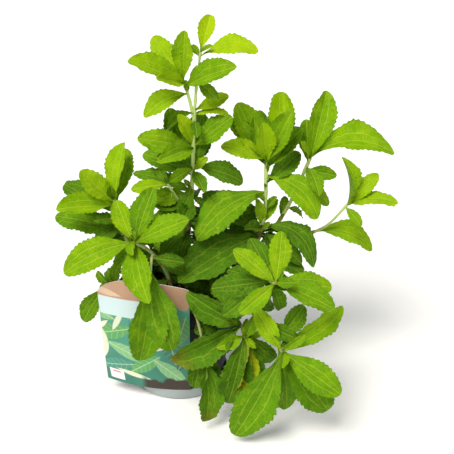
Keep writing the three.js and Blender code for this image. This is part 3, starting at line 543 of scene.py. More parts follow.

# Each row is [place along the shoot, heading, rise, length, arch, roll, tone, tip mark, pucker, sway], and
# pairs are (first place, last place, count, heading, rise, length, tone). Places, angles, lengths and sways
# are as the CAD model has them, but the small rows are not in it. Tone runs from 0, a fresh yellow-green,
# to 1, an old dark green, and below 0 a blade yellows. Near 1, the darkest blades deep in the plant are
# partly painted shade, standing for the shadow inside it. The tip mark browns a blade's tip, pucker blisters
# its skin, and sway bends its middle to the side. A row's last four may be left out.
leafyStems = [
    dict(node="tall_leafy_stem", piece="tallLeafyStem", shoots=[
        dict(path=[(8, 6, 80), (9, 4, 140), (14, 2, 200), (17, 2, 268)], radius=(2.4, 1.6), blades=[
            [1, 195, -27, 28, 30, 10, 0.45, 0, 0, -0.15], [0.97, 280, -23, 23, 20, 0, 0.7],
            [0.86, 225, 61, 36, 15, 0, 0.02], [0.85, 340, 40, 48, 8, 0, 0.4],
            [0.845, 200, 16, 53, 20, 22, 0.3], [0.84, 230, 0, 46, 45, 20, 0.3],
            [0.74, 195, 30, 36, 15, 10, 0.75], [0.76, 45, 43, 29, 10, 0, 0.8],
            [0.76, 10, -21, 51, 45, 0, 0.75], [0.74, 295, -21, 30, 20, 0, 0.6],
            [0.72, 160, 17, 52, 20, 0, 0.55], [0.62, 170, -10, 39, 20, 22, 0.34],
            [0.46, 135, 53, 29, 15, 0, 0.38], [0.42, 255, -29, 37, 30, 0, 0.85],
            [0.45, 335, -27, 43, 35, 0, 0.85], [0.74, 330, 42, 22, 5, 0, 0.15],
            [0.64, 165, 15, 58, 15, -20, 0.6], [0.68, 225, -68, 39, 20, 0, 0.62],
        ], pairs=(0.24, 0.56, 3, 90, -6, 40, 0.85), small=[
            [0.55, 175, 3, 36, 20, 0, 0.5], [0.5, 175, -6, 37, 25, 0, 0.5],
            [0.72, 160, 69, 64, 15, 0, 0.62], [0.72, 55, 78, 59, 12, 0, 0.72],
        ]),
        dict(path=[(16.6, 2, 262), (13, 2, 280), (8, 4, 297)], radius=(1.5, 1.0), blades=[
            [0.66, 200, -21, 44, 50, 25, 0.15, 0, 0, -0.08], [0.95, 200, 26, 55, 20, 12, 0.15],
            [1, 145, 45, 49, 10, 15, 0.08], [0.9, 230, 19, 37, 15, 30, 0.04],
            [1, 285, 82, 45, 5, 0, 0.18], [0.85, 330, 26, 56, 30, -22, 0.34],
        ]),
        dict(path=[(17, 2, 266), (19, 3, 290), (23, 4, 322)], radius=(1.4, 0.9), blades=[
            [1, 70, 48, 38, 8, 0, -0.1], [0.95, 0, 4, 51, 40, 12, -0.02, 0, 0, 0.08],
            [0.62, 320, -31, 28, 50, -20, 0.42], [0.1, 10, 22, 33, 10, -25, 0],
            [0.02, 350, 4, 31, 40, 20, -0.02],
        ], small=[[0.93, 135, 44, 14, 5, 0, 0.3], [1, 340, 30, 13, 5, 0, 0.2]]),
        dict(path=[(12, 3, 170), (1, -2, 188), (-8, -6, 205)], radius=(1.5, 1.0), blades=[
            [0.97, 195, -2, 34, 45, 12, 0.2], [1, 340, 34, 28, 12, -10, 0.4],
            [0.9, 135, 39, 22, 12, 10, 0.6],
        ], small=[[0.75, 265, -15, 10, 10, 0, 0.5]]),
    ]),
    dict(node="left_far_leafy_stem", piece="leftFarLeafyStem", shoots=[
        dict(path=[(-16, 14, 80), (-38, 22, 112), (-55, 18, 150), (-59, 10, 184)],
             radius=(2.2, 1.2), blades=[
            [0.98, 75, 61, 56, 12, 20, 0.12], [0.95, 195, 49, 46, 0, 10, 0.1],
            [1, 265, 52, 23, 15, 0, 0.35], [0.92, 195, 3, 55, 20, 0, 0.18],
            [0.88, 155, 17, 61, -10, 0, 0.75], [0.84, 140, 20, 53, 0, 0, 0.7],
            [0.64, 175, 14, 66, 20, -5, 0.5], [0.52, 150, 6, 38, 20, 0, 0.7],
        ], pairs=(0.28, 0.7, 3, 60, -10, 34, 0.8), small=[[0.94, 80, 45, 60, 12, 20, 0.36]]),
    ]),
    dict(node="left_near_leafy_stem", piece="leftNearLeafyStem", shoots=[
        dict(path=[(-4, -18, 80), (-8, -28, 122), (-22, -36, 150), (-38, -42, 163)],
             radius=(2.1, 1.3), blades=[
            [1, 125, 50, 41, 12, 0, 0.18], [0.95, 25, 69, 53, 12, 5, 0.5],
            [0.97, 345, 30, 58, 20, -10, 0.34], [0.97, 200, -17, 67, 25, 5, 0.27, 0, 0, -0.06],
            [1, 275, -5, 24, 15, 0, 0.3], [0.9, 195, -40, 29, 10, 0, 0.45],
            [0.95, 285, -31, 63, 45, 0, 0.3], [0.78, 150, -34, 25, 20, 0, 0.6],
            [0.55, 15, 48, 40, 30, 0, 0.8],
        ], pairs=(0.3, 0.5, 2, 60, 0, 28, 0.8)),
        dict(path=[(-19.6, -34.9, 146.6), (-20, -54, 153), (-20, -72, 148)], radius=(1.4, 1.0), blades=[
            [0.98, 215, -81, 88, 25, 25, 0.52, 0, 1], [0.97, 325, -74, 77, 15, -15, 0.62, 0, 1],
            [0.5, 0, -9, 29, 25, 0, 0.85],
        ]),
    ]),
    dict(node="right_leafy_stem", piece="rightLeafyStem", shoots=[
        dict(path=[(26, 10, 80), (62, 9, 116), (80, 10, 160), (82, 10, 222)], radius=(2.5, 1.6), blades=[
            [1, 195, 22, 46, 25, 25, 0.12, 0, 0, -0.06], [0.99, 255, 71, 43, 10, 0, 0.1],
            [0.97, 140, 56, 64, 35, 2, 0.28], [0.97, 155, 55, 47, 15, 0, 0.88],
            [0.99, 345, 66, 54, 10, -10, 0.34], [0.98, 65, 61, 69, 10, 5, 0.08, 0, 0, -0.12],
            [0.95, 20, 47, 51, 20, -10, 0.48], [0.88, 25, 36, 44, 30, -20, 0.72],
            [0.92, 335, -33, 62, 30, 0, 0.3, 0, 0, 0.14], [0.84, 215, -20, 82, 35, 0, 0.45, 0, 0, -0.08],
            [0.58, 215, -21, 97, 38, 0, 0.82], [0.64, 330, -25, 62, 75, 5, 0.85, 0, 0, 0.18],
            [0.6, 170, 35, 66, 30, 0, 0.75], [0.62, 140, 20, 29, 20, 0, 0.8],
            [0.6, 350, -12, 56, 55, 20, 0.88, 0, 0, 0.14],
        ], pairs=(0.26, 0.46, 2, 80, -15, 48, 0.85), small=[
            [0.78, 220, 44, 17, 10, 0, 0.45], [0.74, 20, 47, 17, 10, 0, 0.45],
            [0.97, 160, 50, 55, 40, 0, 0.35], [0.96, 115, 71, 53, 15, 0, 0.45],
            [0.6, 340, -32, 49, 35, 0, 0.84], [0.66, 25, 57, 27, 10, 0, 0.2],
            [0.64, 215, 77, 30, 10, 0, 0.25], [0.58, 340, -23, 24, 25, 0, 0.9],
        ]),
    ]),
    dict(node="right_far_leafy_stem", piece="rightFarLeafyStem", shoots=[
        dict(path=[(30, 21, 80), (71, 25, 122), (101, 22, 166), (123, 20, 220)],
             radius=(2.3, 1.4), blades=[
            [1, 45, 75, 64, 8, 0, 0.28], [1, 350, 8, 77, 50, 0, 0.24, 0, 0, 0.14],
            [0.97, 100, 65, 41, 15, 0, 0.35], [0.95, 290, -39, 30, 40, 0, 0.5],
            [0.93, 350, -8, 30, 30, -20, 0.45], [0.84, 5, -34, 37, 40, 0, 0.25],
            [1, 235, 50, 27, 10, 0, 0.12], [0.7, 40, -35, 26, 30, 0, 0.5],
            [0.62, 70, 50, 23, 10, 0, 0.5],
        ], pairs=(0.24, 0.5, 3, 85, -10, 44, 0.75), small=[
            [0.95, 285, -19, 41, 50, 0, 0.45], [0.62, 295, 46, 9, 20, 0, 0.65],
        ]),
        dict(path=[(90.3, 23.4, 147.8), (116, 13, 147), (138, 5, 158), (157, 0, 182)],
             radius=(1.6, 1.1), blades=[
            [1, 160, 82, 46, 45, -35, 0.18], [1, 350, 7, 46, 30, 25, 0.1, 0, 0, 0.08],
            [0.98, 20, 43, 42, 10, 0, 0.1], [0.97, 315, -34, 24, 35, -20, 0.3],
            [0.5, 355, -16, 59, 55, 30, 0.2, 0, 0, 0.08],
        ]),
    ]),
    dict(node="front_leafy_stem", piece="frontLeafyStem", shoots=[
        dict(path=[(30, -16, 80), (54, -44, 118), (76, -74, 141), (87, -92, 147)],
             radius=(2.1, 1.2), blades=[
            [1, 75, 55, 45, 12, 0, 0.2], [1, 170, 40, 46, 12, 0, 0.25],
            [0.9, 125, 45, 43, 15, 0, 0.7], [1, 210, -30, 40, 15, 0, 0.28],
            [1, 340, -17, 54, 20, 25, 0.45], [0.95, 10, -11, 53, 20, 25, 0.3],
            [0.98, 310, 20, 25, 10, 0, 0.5], [0.86, 175, -10, 52, 20, 0, 0.85],
            [0.78, 190, -40, 50, 25, 0, 0.75], [0.88, 25, -70, 32, 10, 0, 0.7],
        ], pairs=(0.42, 0.62, 2, 60, -5, 32, 0.8)),
    ]),
    dict(node="low_front_leafy_stem", piece="lowFrontLeafyStem", shoots=[
        dict(path=[(26, -22, 80), (48, -46, 108), (76, -80, 104), (94, -102, 86)],
             radius=(2.1, 1.3), blades=[
            [1, 150, 50, 44, 10, 0, 0.2], [0.98, 15, 30, 65, 5, -10, 0.28],
            [0.99, 355, 40, 25, 10, 0, 0.3], [1, 340, -30, 61, 20, 0, 0.42],
            [0.95, 355, -55, 78, 20, 0, 0.55], [0.94, 350, -81, 65, 20, 15, 0.6],
            [1, 200, -60, 89, 20, 0, 0.54], [1, 265, -5, 22, 10, 0, 0.22],
            [0.88, 45, 35, 43, 25, 0, 0.55],
        ], pairs=(0.52, 0.7, 2, 50, -20, 40, 0.75)),
    ]),
    dict(node="low_left_leafy_stem", piece="lowLeftLeafyStem", shoots=[
        dict(path=[(14, -28, 80), (36, -50, 106), (54, -68, 102), (62, -78, 86)],
             radius=(1.9, 1.0), blades=[
            [0.95, 210, -10, 28, 25, 0, 0.22], [0.8, 190, 35, 58, 25, 0, 0.8],
            [0.8, 190, -23, 69, 30, 0, 0.74, 1], [0.95, 230, -71, 66, 40, 0, 0.85],
            [0.92, 5, -45, 42, 20, 0, 0.75], [0.98, 250, -61, 48, 25, 42, -0.25, 0, 0, 0.12],
            [0.9, 15, -75, 55, 20, 0, 0.6], [1, 330, 70, 26, 10, 0, 0.4],
        ], pairs=(0.5, 0.66, 2, 100, 10, 36, 0.7), small=[
            [0.55, 190, -31, 38, 30, 0, 0.95], [0.72, 185, -57, 43, 35, 0, 0.9],
            [1, 135, 75, 10, 10, 0, 0.2], [1, 15, 13, 17, 10, 0, 0.15],
            [0.97, 320, -30, 15, 10, 0, 0.25], [0.9, 45, 64, 12, 5, 0, 0.3],
        ]),
    ]),
    dict(node="hanging_leafy_stem", piece="hangingLeafyStem", shoots=[
        dict(path=[(8, -34, 80), (14, -54, 106), (22, -76, 94), (27, -88, 66)], radius=(1.7, 1.0), blades=[
            [0.85, 215, -76, 41, 20, 0, 0.85], [1, 280, -74, 60, 25, 35, 0.64, 0.8],
            [0.95, 335, -70, 43, 20, 0, 0.78],
        ], small=[[0.5, 355, -10, 38, 30, 0, 0.95], [0.85, 20, -75, 46, 25, 0, 0.95]]),
    ]),
    dict(node="left_low_leafy_stem", piece="leftLowLeafyStem", shoots=[
        dict(path=[(-34, -2, 80), (-50, -16, 107), (-66, -28, 112)], radius=(1.8, 1.1), blades=[
            [1, 190, -63, 42, 30, 0, 0.6], [0.8, 305, 66, 30, 20, 0, 0.45],
        ], pairs=(0.35, 0.6, 2, 45, 5, 27, 0.7)),
    ]),
    dict(node="back_left_leafy_stem", piece="backLeftLeafyStem", light=backLight, shoots=[
        dict(path=[(-12, 32, 80), (-22, 54, 107), (-38, 74, 122)], radius=(2.0, 1.1), blades=[],
             pairs=(0.36, 1, 5, 20, 6, 52, 0.35)),
    ]),
    dict(node="back_leafy_stem", piece="backLeafyStem", light=backLight, shoots=[
        dict(path=[(10, 34, 80), (14, 58, 110), (14, 84, 126)], radius=(2.1, 1.1), blades=[],
             pairs=(0.36, 1, 5, 5, 6, 54, 0.4)),
    ]),
    dict(node="back_right_leafy_stem", piece="backRightLeafyStem", light=backLight, shoots=[
        dict(path=[(29, 29, 80), (44, 52, 110), (58, 78, 126)], radius=(2.0, 1.1), blades=[],
             pairs=(0.36, 1, 5, 60, 6, 52, 0.35)),
    ]),
]
seed, seedFactor, seedModulus = 20117, 16807, 2147483647


def draw(low, high):  # the CAD model's generator, so that the same plant grows
    global seed
    seed = seed * seedFactor % seedModulus
    return low + (high - low) * seed / seedModulus


# A uniform Catmull-Rom curve through the shoot's points, at places from 0 to 1
def pathPoints(shoot, places):
    knots = np.array(shoot["path"], float)
    knots = np.vstack([2 * knots[0] - knots[1], knots, 2 * knots[-1] - knots[-2]])
    spans = len(knots) - 3
    along = np.clip(np.atleast_1d(np.asarray(places, float)), 0, 1) * spans
    span = np.minimum(along.astype(int), spans - 1)
    w = (along - span)[:, None]
    before, start, end, after = (knots[span + k] for k in range(4))
    leave, arrive = (end - before) / 2, (after - start) / 2
    return (start + leave * w + (3 * (end - start) - 2 * leave - arrive) * w ** 2
            + (2 * (start - end) + leave + arrive) * w ** 3)


def pathLength(shoot):
    return np.linalg.norm(np.diff(pathPoints(shoot, np.linspace(0, 1, 201)), axis=0), axis=1).sum()


def pathDirection(shoot, place):
    ends = pathPoints(shoot, [place - 1e-4, place + 1e-4])
    return unit(ends[1] - ends[0])


def stemRadius(shoot, place):
    return shoot["radius"][0] + (shoot["radius"][1] - shoot["radius"][0]) * place


def standLeaf(shoot, row, light):  # root, chord, the way the blade faces and the way across it
    at, heading, rise, length, arch, roll = row[:6]
    h, r = math.radians(heading), math.radians(rise)
    chord = np.array([math.cos(r) * math.cos(h), math.cos(r) * math.sin(h), math.sin(r)])
    face = pathDirection(shoot, at) * 0.5 + np.array(light)
    face = unit(face - face.dot(chord) * chord)
    side = np.cross(face, chord)
    face = face * math.cos(math.radians(roll)) + side * math.sin(math.radians(roll))
    return dict(root=pathPoints(shoot, at)[0], chord=chord, face=face, side=np.cross(face, chord),
                length=length, arch=math.radians(arch))


# Points of a blade's middle sheet in the CAD model's form, from root to tip and from edge to edge
def leafPoints(leaf, u, v):
    length, half, bend = leaf["length"], leaf["arch"] / 2, leaf["arch"] * (u - 0.5)
    along, up = u * length, u * 0
    if abs(half) > 1e-3:
        radius = length / (2 * math.sin(half))
        along, up = radius * (np.sin(bend) + math.sin(half)), radius * (np.cos(bend) - math.cos(half))
    swell = np.maximum(np.sin(math.pi * np.maximum(u, 0) ** blade["swell"]), 0) ** (1.15 - 0.55 * u)
    reach = np.abs(v) * length * (leaf["widthShare"] * swell + blade["stalk"] * (1 - u))
    fold = math.radians(leaf["fold"])
    waved = blade["waves"] * u + leaf["phase"] + blade["waveLean"] * v
    wave = blade["wave"] * length * v ** 2 * np.sin(2 * math.pi * waved)
    out = -np.sin(bend)[:, None] * leaf["chord"] + np.cos(bend)[:, None] * leaf["face"]
    sideways = np.sign(v) * reach * math.cos(fold) + leaf["sway"] * length * 4 * u * (1 - u)
    return (leaf["root"] + along[:, None] * leaf["chord"] + up[:, None] * leaf["face"]
            + sideways[:, None] * leaf["side"]
            + (reach * math.sin(fold) + wave)[:, None] * out)


# Where a blade is sampled past its stalk, the lift and turn in degrees by which it gives way, the shares of
# its length that it tries, and the room in millimetres that it leaves
alongBlade, acrossBlade = 0.14 + 0.86 * np.arange(13) / 12, [-1, -0.5, 0, 0.5, 1]
sampleU, sampleV = (grid.ravel() for grid in np.meshgrid(alongBlade, acrossBlade))
midU, midV = np.array([0.5]), np.array([0.0])
nudges = [(0, 0), (6, 0), (-6, 0), (0, 8), (0, -8), (12, 4), (-12, -4), (4, 14), (-4, -14),
          (18, -8), (-18, 8), (10, 20), (-10, -20), (24, 0), (-24, 0)]
shrinks = (1, 0.86, 0.74)
room = dict(blade=3.3, stem=2.2, stemStep=3, floor=1.5, aboveRim=2, roundRim=2.5, insideRim=6, aboveSoil=4,
            offCard=3.4, aboveCard=3, besideCard=1.5)
stemSpots = []
placed = []


def clearOfHolder(points):
    x, y, z = points.T
    radius = np.hypot(x, y)
    nearPot = (z < rimTop + room["aboveRim"]) & (radius < pot["rimRadius"] + room["roundRim"])
    insideRim = (z > soilTop + room["aboveSoil"]) & (radius < pot["rimRadius"] - room["insideRim"])
    dx, dy = x - cardCentre[0], y - cardCentre[1]
    turn = np.degrees(np.arctan2(dy, dx)) + 360 - card["middle"]
    beside = (turn < cardLeft(z) - room["besideCard"]) | (turn > card["right"] + room["besideCard"])
    away = np.abs(np.hypot(dx, dy) - cardRadius(z)) > room["offCard"]
    offCard = beside | away | (z > card["peak"] + room["aboveCard"])
    return bool(np.all((z >= room["floor"]) & np.where(nearPot, insideRim, offCard)))


# Keeps a blade's sampled points clear of the holder, of the other leafy stems and of their blades. A blade
# that fills a gap keeps clear of its own stem's blades too, and stays deep inside the plant.
def isClear(node, leaf, samples, middle, fills):
    if not clearOfHolder(samples):
        return False
    if fills:
        deep = (middle[1] > fills["front"] and middle[2] < fills["top"]
                and math.hypot(middle[0], middle[1]) < fills["reach"])
        if not deep or not np.all((samples > cadLow + 1) & (samples < cadHigh - 1)):
            return False
    apart = fills["room"] if fills else room["blade"]
    reach = leaf["length"] / 2 + room["blade"]
    for owner, centres, rooms in stemSpots:
        near = np.linalg.norm(centres - middle, axis=1) <= reach + rooms
        if owner == node or not near.any():
            continue
        if (np.linalg.norm(samples[:, None] - centres[near][None], axis=2) < rooms[near]).any():
            return False
    for other in placed:
        if other["node"] == node and not fills:
            continue
        if np.linalg.norm(other["middle"] - middle) > reach + other["reach"]:
            continue
        if (np.linalg.norm(samples[:, None] - other["samples"][None], axis=2) < apart).any():
            return False
    return True


def growLeaf(node, shoot, row, light, fills=None, free=False):
    usual = [0.4, 0, 0, 0]
    tone, tipMark, pucker, sway = row[6:] + usual[len(row) - 6:]
    style = dict(phase=draw(0, 1), widthShare=blade["widthShare"] * draw(*blade["widths"]),
                 fold=blade["fold"] * draw(*blade["folds"]), tone=tone, tipMark=tipMark, pucker=pucker,
                 sway=sway)
    for share in shrinks:
        for lift, turn in nudges:
            tried = [row[0], row[1] + turn, row[2] + lift, row[3] * share, row[4], row[5]]
            leaf = standLeaf(shoot, tried, light) | style
            samples, middle = leafPoints(leaf, sampleU, sampleV), leafPoints(leaf, midU, midV)[0]
            if free or isClear(node, leaf, samples, middle, fills):
                placed.append(dict(node=node, middle=middle, reach=leaf["length"] / 2, samples=samples))
                return leaf
    return None


# The ranges that a pair's turn and rise in degrees, share of its length and arch are drawn from
pairing = dict(turns=(-12, 12), rises=(-10, 14), lengths=(0.85, 1.12), arches=(15, 40))


def pairRows(start, end, count, heading, rise, length, tone):  # opposite pairs, each a quarter turn on
    rows = []
    for i in range(count):
        for opposite in (0, 180):
            turned = heading + 90 * i + opposite + draw(*pairing["turns"])
            rows.append([start + (end - start) * i / (count - 1), turned, rise + draw(*pairing["rises"]),
                         length * draw(*pairing["lengths"]), draw(*pairing["arches"]), 0, tone])
    return rows


# Older, darker pairs fill the plant's middle; their dark tone is partly the age of low leaves and partly
# painted shade of the plant's inside. Young leaves bud where large blades leave the stem. A value is drawn
# from each range. Front, reach and top bound where they may grow, in millimetres.
filling = dict(start=0.12, end=0.88, step=10, room=1.4, turns=(-20, 20), rises=(-18, 24), lengths=(26, 42),
               shorter=0.3, arches=(10, 40), rolls=(-15, 15), fresher=0.5, tones=(-0.1, 0.05),
               front=-30, reach=75, top=185)
budding = dict(share=0.3, parent=34, lastPlace=0.97, above=0.01, room=0.9, sides=(-22, 22),
               turns=(-15, 15), rises=(40, 68), lengths=(8, 15), arches=(0, 25), tone=0.35,
               tones=(-0.1, 0.2), front=-200, reach=300, top=400)


def fillerRows(shoot):
    rows, length = [], pathLength(shoot)
    steps = max(1, int((filling["end"] - filling["start"]) * length / filling["step"]))
    heading = draw(0, 180)
    for i in range(steps + 1):
        at = filling["start"] + (filling["end"] - filling["start"]) * i / steps
        for opposite in (0, 180):
            turned = heading + 90 * i + opposite + draw(*filling["turns"])
            # The tone darkens towards the shoot's foot: older leaves there, and painted shade deep in the
            # plant
            rows.append([at, turned, draw(*filling["rises"]),
                         draw(*filling["lengths"]) * (1 - filling["shorter"] * at),
                         draw(*filling["arches"]), draw(*filling["rolls"]),
                         1 - filling["fresher"] * at ** 2 + draw(*filling["tones"])])
    return rows


def budRows(shoot):
    rows = []
    for row in shoot["blades"]:
        if row[3] < budding["parent"] or row[0] > budding["lastPlace"]:
            continue
        for turn in budding["sides"]:
            if draw(0, 1) < budding["share"]:
                turned = row[1] + turn + draw(*budding["turns"])
                rows.append([row[0] + budding["above"], turned, draw(*budding["rises"]),
                             draw(*budding["lengths"]), draw(*budding["arches"]), 0,
                             budding["tone"] + draw(*budding["tones"])])
    return rows


def growRows(stem, shoot, rows, **how):  # a row that finds no clear place grows nothing
    light = stem.get("light", frontLight)
    leaves = [growLeaf(stem["node"], shoot, row, light, **how) for row in rows]
    stem["leaves"] += [leaf for leaf in leaves if leaf]


def growPlant():
    shoots = [(stem, shoot) for stem in leafyStems for shoot in stem["shoots"]]
    for stem, shoot in shoots:
        stem["leaves"] = []
        count = math.ceil(pathLength(shoot) / room["stemStep"])
        places = np.arange(count + 1) / count
        spots, radii = pathPoints(shoot, places), stemRadius(shoot, places)
        stemSpots.append((stem["node"], spots, radii + room["stem"]))
    for stem, shoot in shoots:
        growRows(stem, shoot, shoot["blades"])
    for stem, shoot in shoots:
        if "pairs" in shoot:
            growRows(stem, shoot, pairRows(*shoot["pairs"]))
    for stem, shoot in shoots:
        growRows(stem, shoot, shoot.get("small", []), free=True)
    for stem, shoot in shoots:
        growRows(stem, shoot, budRows(shoot), fills=budding)
        if shoot is stem["shoots"][0]:
            growRows(stem, shoot, fillerRows(shoot), fills=filling)


growPlant()
print("plant planned:", sum(len(stem["leaves"]) for stem in leafyStems), "leaves")

# A living stevia leaf: a matt, faintly hairy skin that glows a little where light comes through it. The net
# of fine veins has cells of about 3 mm, coarser than the real net, which is too fine to show. The skin's
# grain is 0.8 mm wide, a brown tip's speckles 1.7 mm and the patches of its colour 11 mm. The dark rim along
# its edge is painted shade, the shadow that its small teeth cast.
leafFinish = dict(
    tones=[(0.0, "B8B214"), (0.14, "B4D604"), (0.3, "9AC404"), (0.44, "7EAE08"),
           (0.62, "62960E"), (0.82, "508214"), (1.0, "426E12")],
    vein="D4E650", under="7C9A4C", rim="3E6A08", brown="8A6A2E", glow="A0D000", roughness=0.5,
    throughLight=0.2, branches=7, branchLean=-1.3, netPerMm=0.3, wanderPerMm=0.13, faintPerMm=0.11,
    specklesPerMm=0.6, grainPerMm=1.2, patchesPerMetre=90.0)
# Where each fade starts and ends, and its strength at both. The middle vein's is in millimetres, and below
# runs from 1 on the upper sheet to -1 on the lower. The rest run from 0 to 1: across the half width, between
# two veins, along the blade, by a leaf's age or by a noise.
leafFades = dict(
    middleVein=(0.15, 0.65, 1, 0), sideVein=(0.01, 0.05, 0.75, 0), branchVein=(0.015, 0.08, 0.65, 0),
    netVein=(0.0, 0.12, 0.4, 0), fineVeins=(0.38, 0.6, 0.35, 1), veinsByAge=(0.4, 0.95, 0.54, 0.3),
    rim=(0.9, 1.0, 0, 0.4), below=(0.2, -0.2, 0, 0.5), tip=(0.72, 1.0, 0, 1), speckles=(0.4, 0.6, 0.2, 1))


def leafMaterial(look, fades):
    material, tree, output = newMaterial("steviaLeaf")
    spot = addNode(tree, "Attribute", out="Vector", attribute_name="blank")
    u, v, sheet = addNode(tree, "SeparateXYZ", [spot], out=None).outputs
    spread = addNode(tree, "Attribute", out="Vector", attribute_name="spread")
    form = addNode(tree, "Attribute", out="Vector", attribute_name="form")
    tone = addNode(tree, "SeparateXYZ", [form], out=2)
    marks = addNode(tree, "Attribute", out="Vector", attribute_name="marks")
    tipMark = addNode(tree, "SeparateXYZ", [marks], out=0)
    across = addNode(tree, "Math:ABSOLUTE", [v])
    spreadAcross = addNode(tree, "SeparateXYZ", [spread], out=1)
    fromMiddle = addNode(tree, "Math:ABSOLUTE", [spreadAcross])  # millimetres

    # Three main veins from the root, side veins between them, and the fine net that they carry
    middleVein = addNode(tree, "MapRange", [fromMiddle, *fades["middleVein"]])
    wander = addNode(tree, "TexNoise", {"Vector": spread, "Scale": look["wanderPerMm"], "Detail": 2.0})
    wander = addNode(tree, "Math:SUBTRACT", [wander, 0.5])  # round 0, so that no vein shifts on the whole
    offSide = addNode(tree, "Math:MULTIPLY_ADD", [wander, 0.3, across])
    offSide = addNode(tree, "Math:SUBTRACT", [offSide, blade["sideVein"]])
    offSide = addNode(tree, "Math:ABSOLUTE", [offSide])
    sideVein = addNode(tree, "MapRange", [offSide, *fades["sideVein"]])
    bentAcross = addNode(tree, "Math:MULTIPLY", [across, look["branchLean"]])
    bentAcross = addNode(tree, "Math:MULTIPLY_ADD", [wander, 1.8, bentAcross])
    branches = addNode(tree, "Math:MULTIPLY_ADD", [u, look["branches"], bentAcross])
    branches = addNode(tree, "Math:FRACT", [branches])
    branches = addNode(tree, "Math:SUBTRACT", [branches, 0.5])
    branches = addNode(tree, "Math:ABSOLUTE", [branches])
    branchVein = addNode(tree, "MapRange", [branches, *fades["branchVein"]])
    net = addNode(tree, "TexVoronoi", {"Vector": spread, "Scale": look["netPerMm"]},
                  feature="DISTANCE_TO_EDGE")
    netVein = addNode(tree, "MapRange", [net, *fades["netVein"]])
    veins = addNode(tree, "Math:MAXIMUM", [middleVein, sideVein])
    fine = addNode(tree, "Math:MAXIMUM", [branchVein, netVein])
    faint = addNode(tree, "TexNoise", {"Vector": spread, "Scale": look["faintPerMm"], "Detail": 1.0})
    faint = addNode(tree, "MapRange", [faint, *fades["fineVeins"]])
    fine = addNode(tree, "Math:MULTIPLY", [fine, faint])
    veins = addNode(tree, "Math:MAXIMUM", [veins, fine])

    # The blade's own colour by age, uneven as a grown thing is, paler from below
    place = addNode(tree, "TexCoord", out="Object")
    patches = addNode(tree, "TexNoise", {"Vector": place, "Scale": look["patchesPerMetre"], "Detail": 3.0})
    age = addNode(tree, "MapRange", [tone, -0.3, 1.0, 0.0, 1.0])
    uneven = addNode(tree, "Math:MULTIPLY_ADD", [patches, 0.4, -0.2])
    age = addNode(tree, "Math:ADD", [age, uneven], use_clamp=True)
    ramp = addNode(tree, "ValToRGB", [age], out=None)
    for step, (position, colour) in enumerate(look["tones"]):
        stop = ramp.color_ramp.elements[step] if step < 2 else ramp.color_ramp.elements.new(position)
        stop.position, stop.color = position, linearColour(colour)
    # Painted shade: the blade darkens towards its edge, standing for the shadow of its teeth
    edge = addNode(tree, "MapRange", [across, *fades["rim"]])
    skin = addNode(tree, "Mix", {0: edge, 6: ramp.outputs[0], 7: look["rim"]}, **mixColours)
    veinShare = addNode(tree, "MapRange", [age, *fades["veinsByAge"]])
    veinShare = addNode(tree, "Math:MULTIPLY", [veins, veinShare])
    skin = addNode(tree, "Mix", {0: veinShare, 6: skin, 7: look["vein"]}, **mixColours)
    below = addNode(tree, "MapRange", [sheet, *fades["below"]])
    skin = addNode(tree, "Mix", {0: below, 6: skin, 7: look["under"]}, **mixColours)
    tip = addNode(tree, "MapRange", [u, *fades["tip"]])
    tip = addNode(tree, "Math:MULTIPLY", [tip, tipMark])
    speckle = addNode(tree, "TexNoise", {"Vector": spread, "Scale": look["specklesPerMm"], "Detail": 4.0})
    speckle = addNode(tree, "MapRange", [speckle, *fades["speckles"]])
    tip = addNode(tree, "Math:MULTIPLY", [tip, speckle])
    skin = addNode(tree, "Mix", {0: tip, 6: skin, 7: look["brown"]}, **mixColours)

    # Veins lie a little below the quilted skin between them
    relief = addNode(tree, "Math:MULTIPLY", [veins, -0.4])
    grain = addNode(tree, "TexNoise", {"Vector": spread, "Scale": look["grainPerMm"], "Detail": 2.0})
    relief = addNode(tree, "Math:MULTIPLY_ADD", [grain, 0.5, relief])
    normal = addNode(tree, "Bump", {"Strength": 1.0, "Distance": 0.0009, "Height": relief})
    surface = addNode(tree, "BsdfPrincipled", {
        "Base Color": skin, "Roughness": look["roughness"], "Specular IOR Level": 0.04, "Normal": normal})
    glow = addNode(tree, "Mix", {0: 0.5, 6: skin, 7: look["glow"]}, **mixColours)
    through = addNode(tree, "BsdfTranslucent", {"Color": glow})
    mixed = addNode(tree, "MixShader", [look["throughLight"], surface, through])
    tree.links.new(mixed, output.inputs["Surface"])
    return material


# Soft green stem: pale, faintly ribbed and downy, browner where it leaves the soil and at its knots. Its
# streaks are about 3 mm wide, coarser than real ribs, which are too fine to show.
stemFinish = dict(young="BBD378", old="A3AE6E", bark="8A6A44", scar="9A5A2C", roughness=0.65,
                  streaksPerMetre=300.0, barkFade=(0.0, 0.25, 0.5, 0), scarFade=(0.5, 0.95, 0.85, 0.0))


def stemMaterial(look):
    material, tree, output = newMaterial("downyStem")
    age = addNode(tree, "Attribute", out="Fac", attribute_name="age")
    place = addNode(tree, "TexCoord", out="Object")
    streaks = addNode(tree, "TexNoise", {
        "Vector": place, "Scale": look["streaksPerMetre"], "Detail": 3.0})
    bark = addNode(tree, "MapRange", [age, *look["barkFade"]])
    bark = addNode(tree, "Math:MULTIPLY", [bark, streaks])
    skin = addNode(tree, "Mix", {0: age, 6: look["old"], 7: look["young"]}, **mixColours)
    skin = addNode(tree, "Mix", {0: bark, 6: skin, 7: look["bark"]}, **mixColours)
    knot = addNode(tree, "Attribute", out="Fac", attribute_name="knot")
    scar = addNode(tree, "MapRange", [age, *look["scarFade"]])
    scar = addNode(tree, "Math:MULTIPLY", [scar, knot])
    skin = addNode(tree, "Mix", {0: scar, 6: skin, 7: look["scar"]}, **mixColours)
    normal = addNode(tree, "Bump", {"Strength": 0.3, "Distance": 0.0003, "Height": streaks})
    surface = addNode(tree, "BsdfPrincipled", {
        "Base Color": skin, "Roughness": look["roughness"], "Specular IOR Level": 0.3, "Sheen Weight": 0.15,
        "Normal": normal})
    tree.links.new(surface, output.inputs["Surface"])
    return material


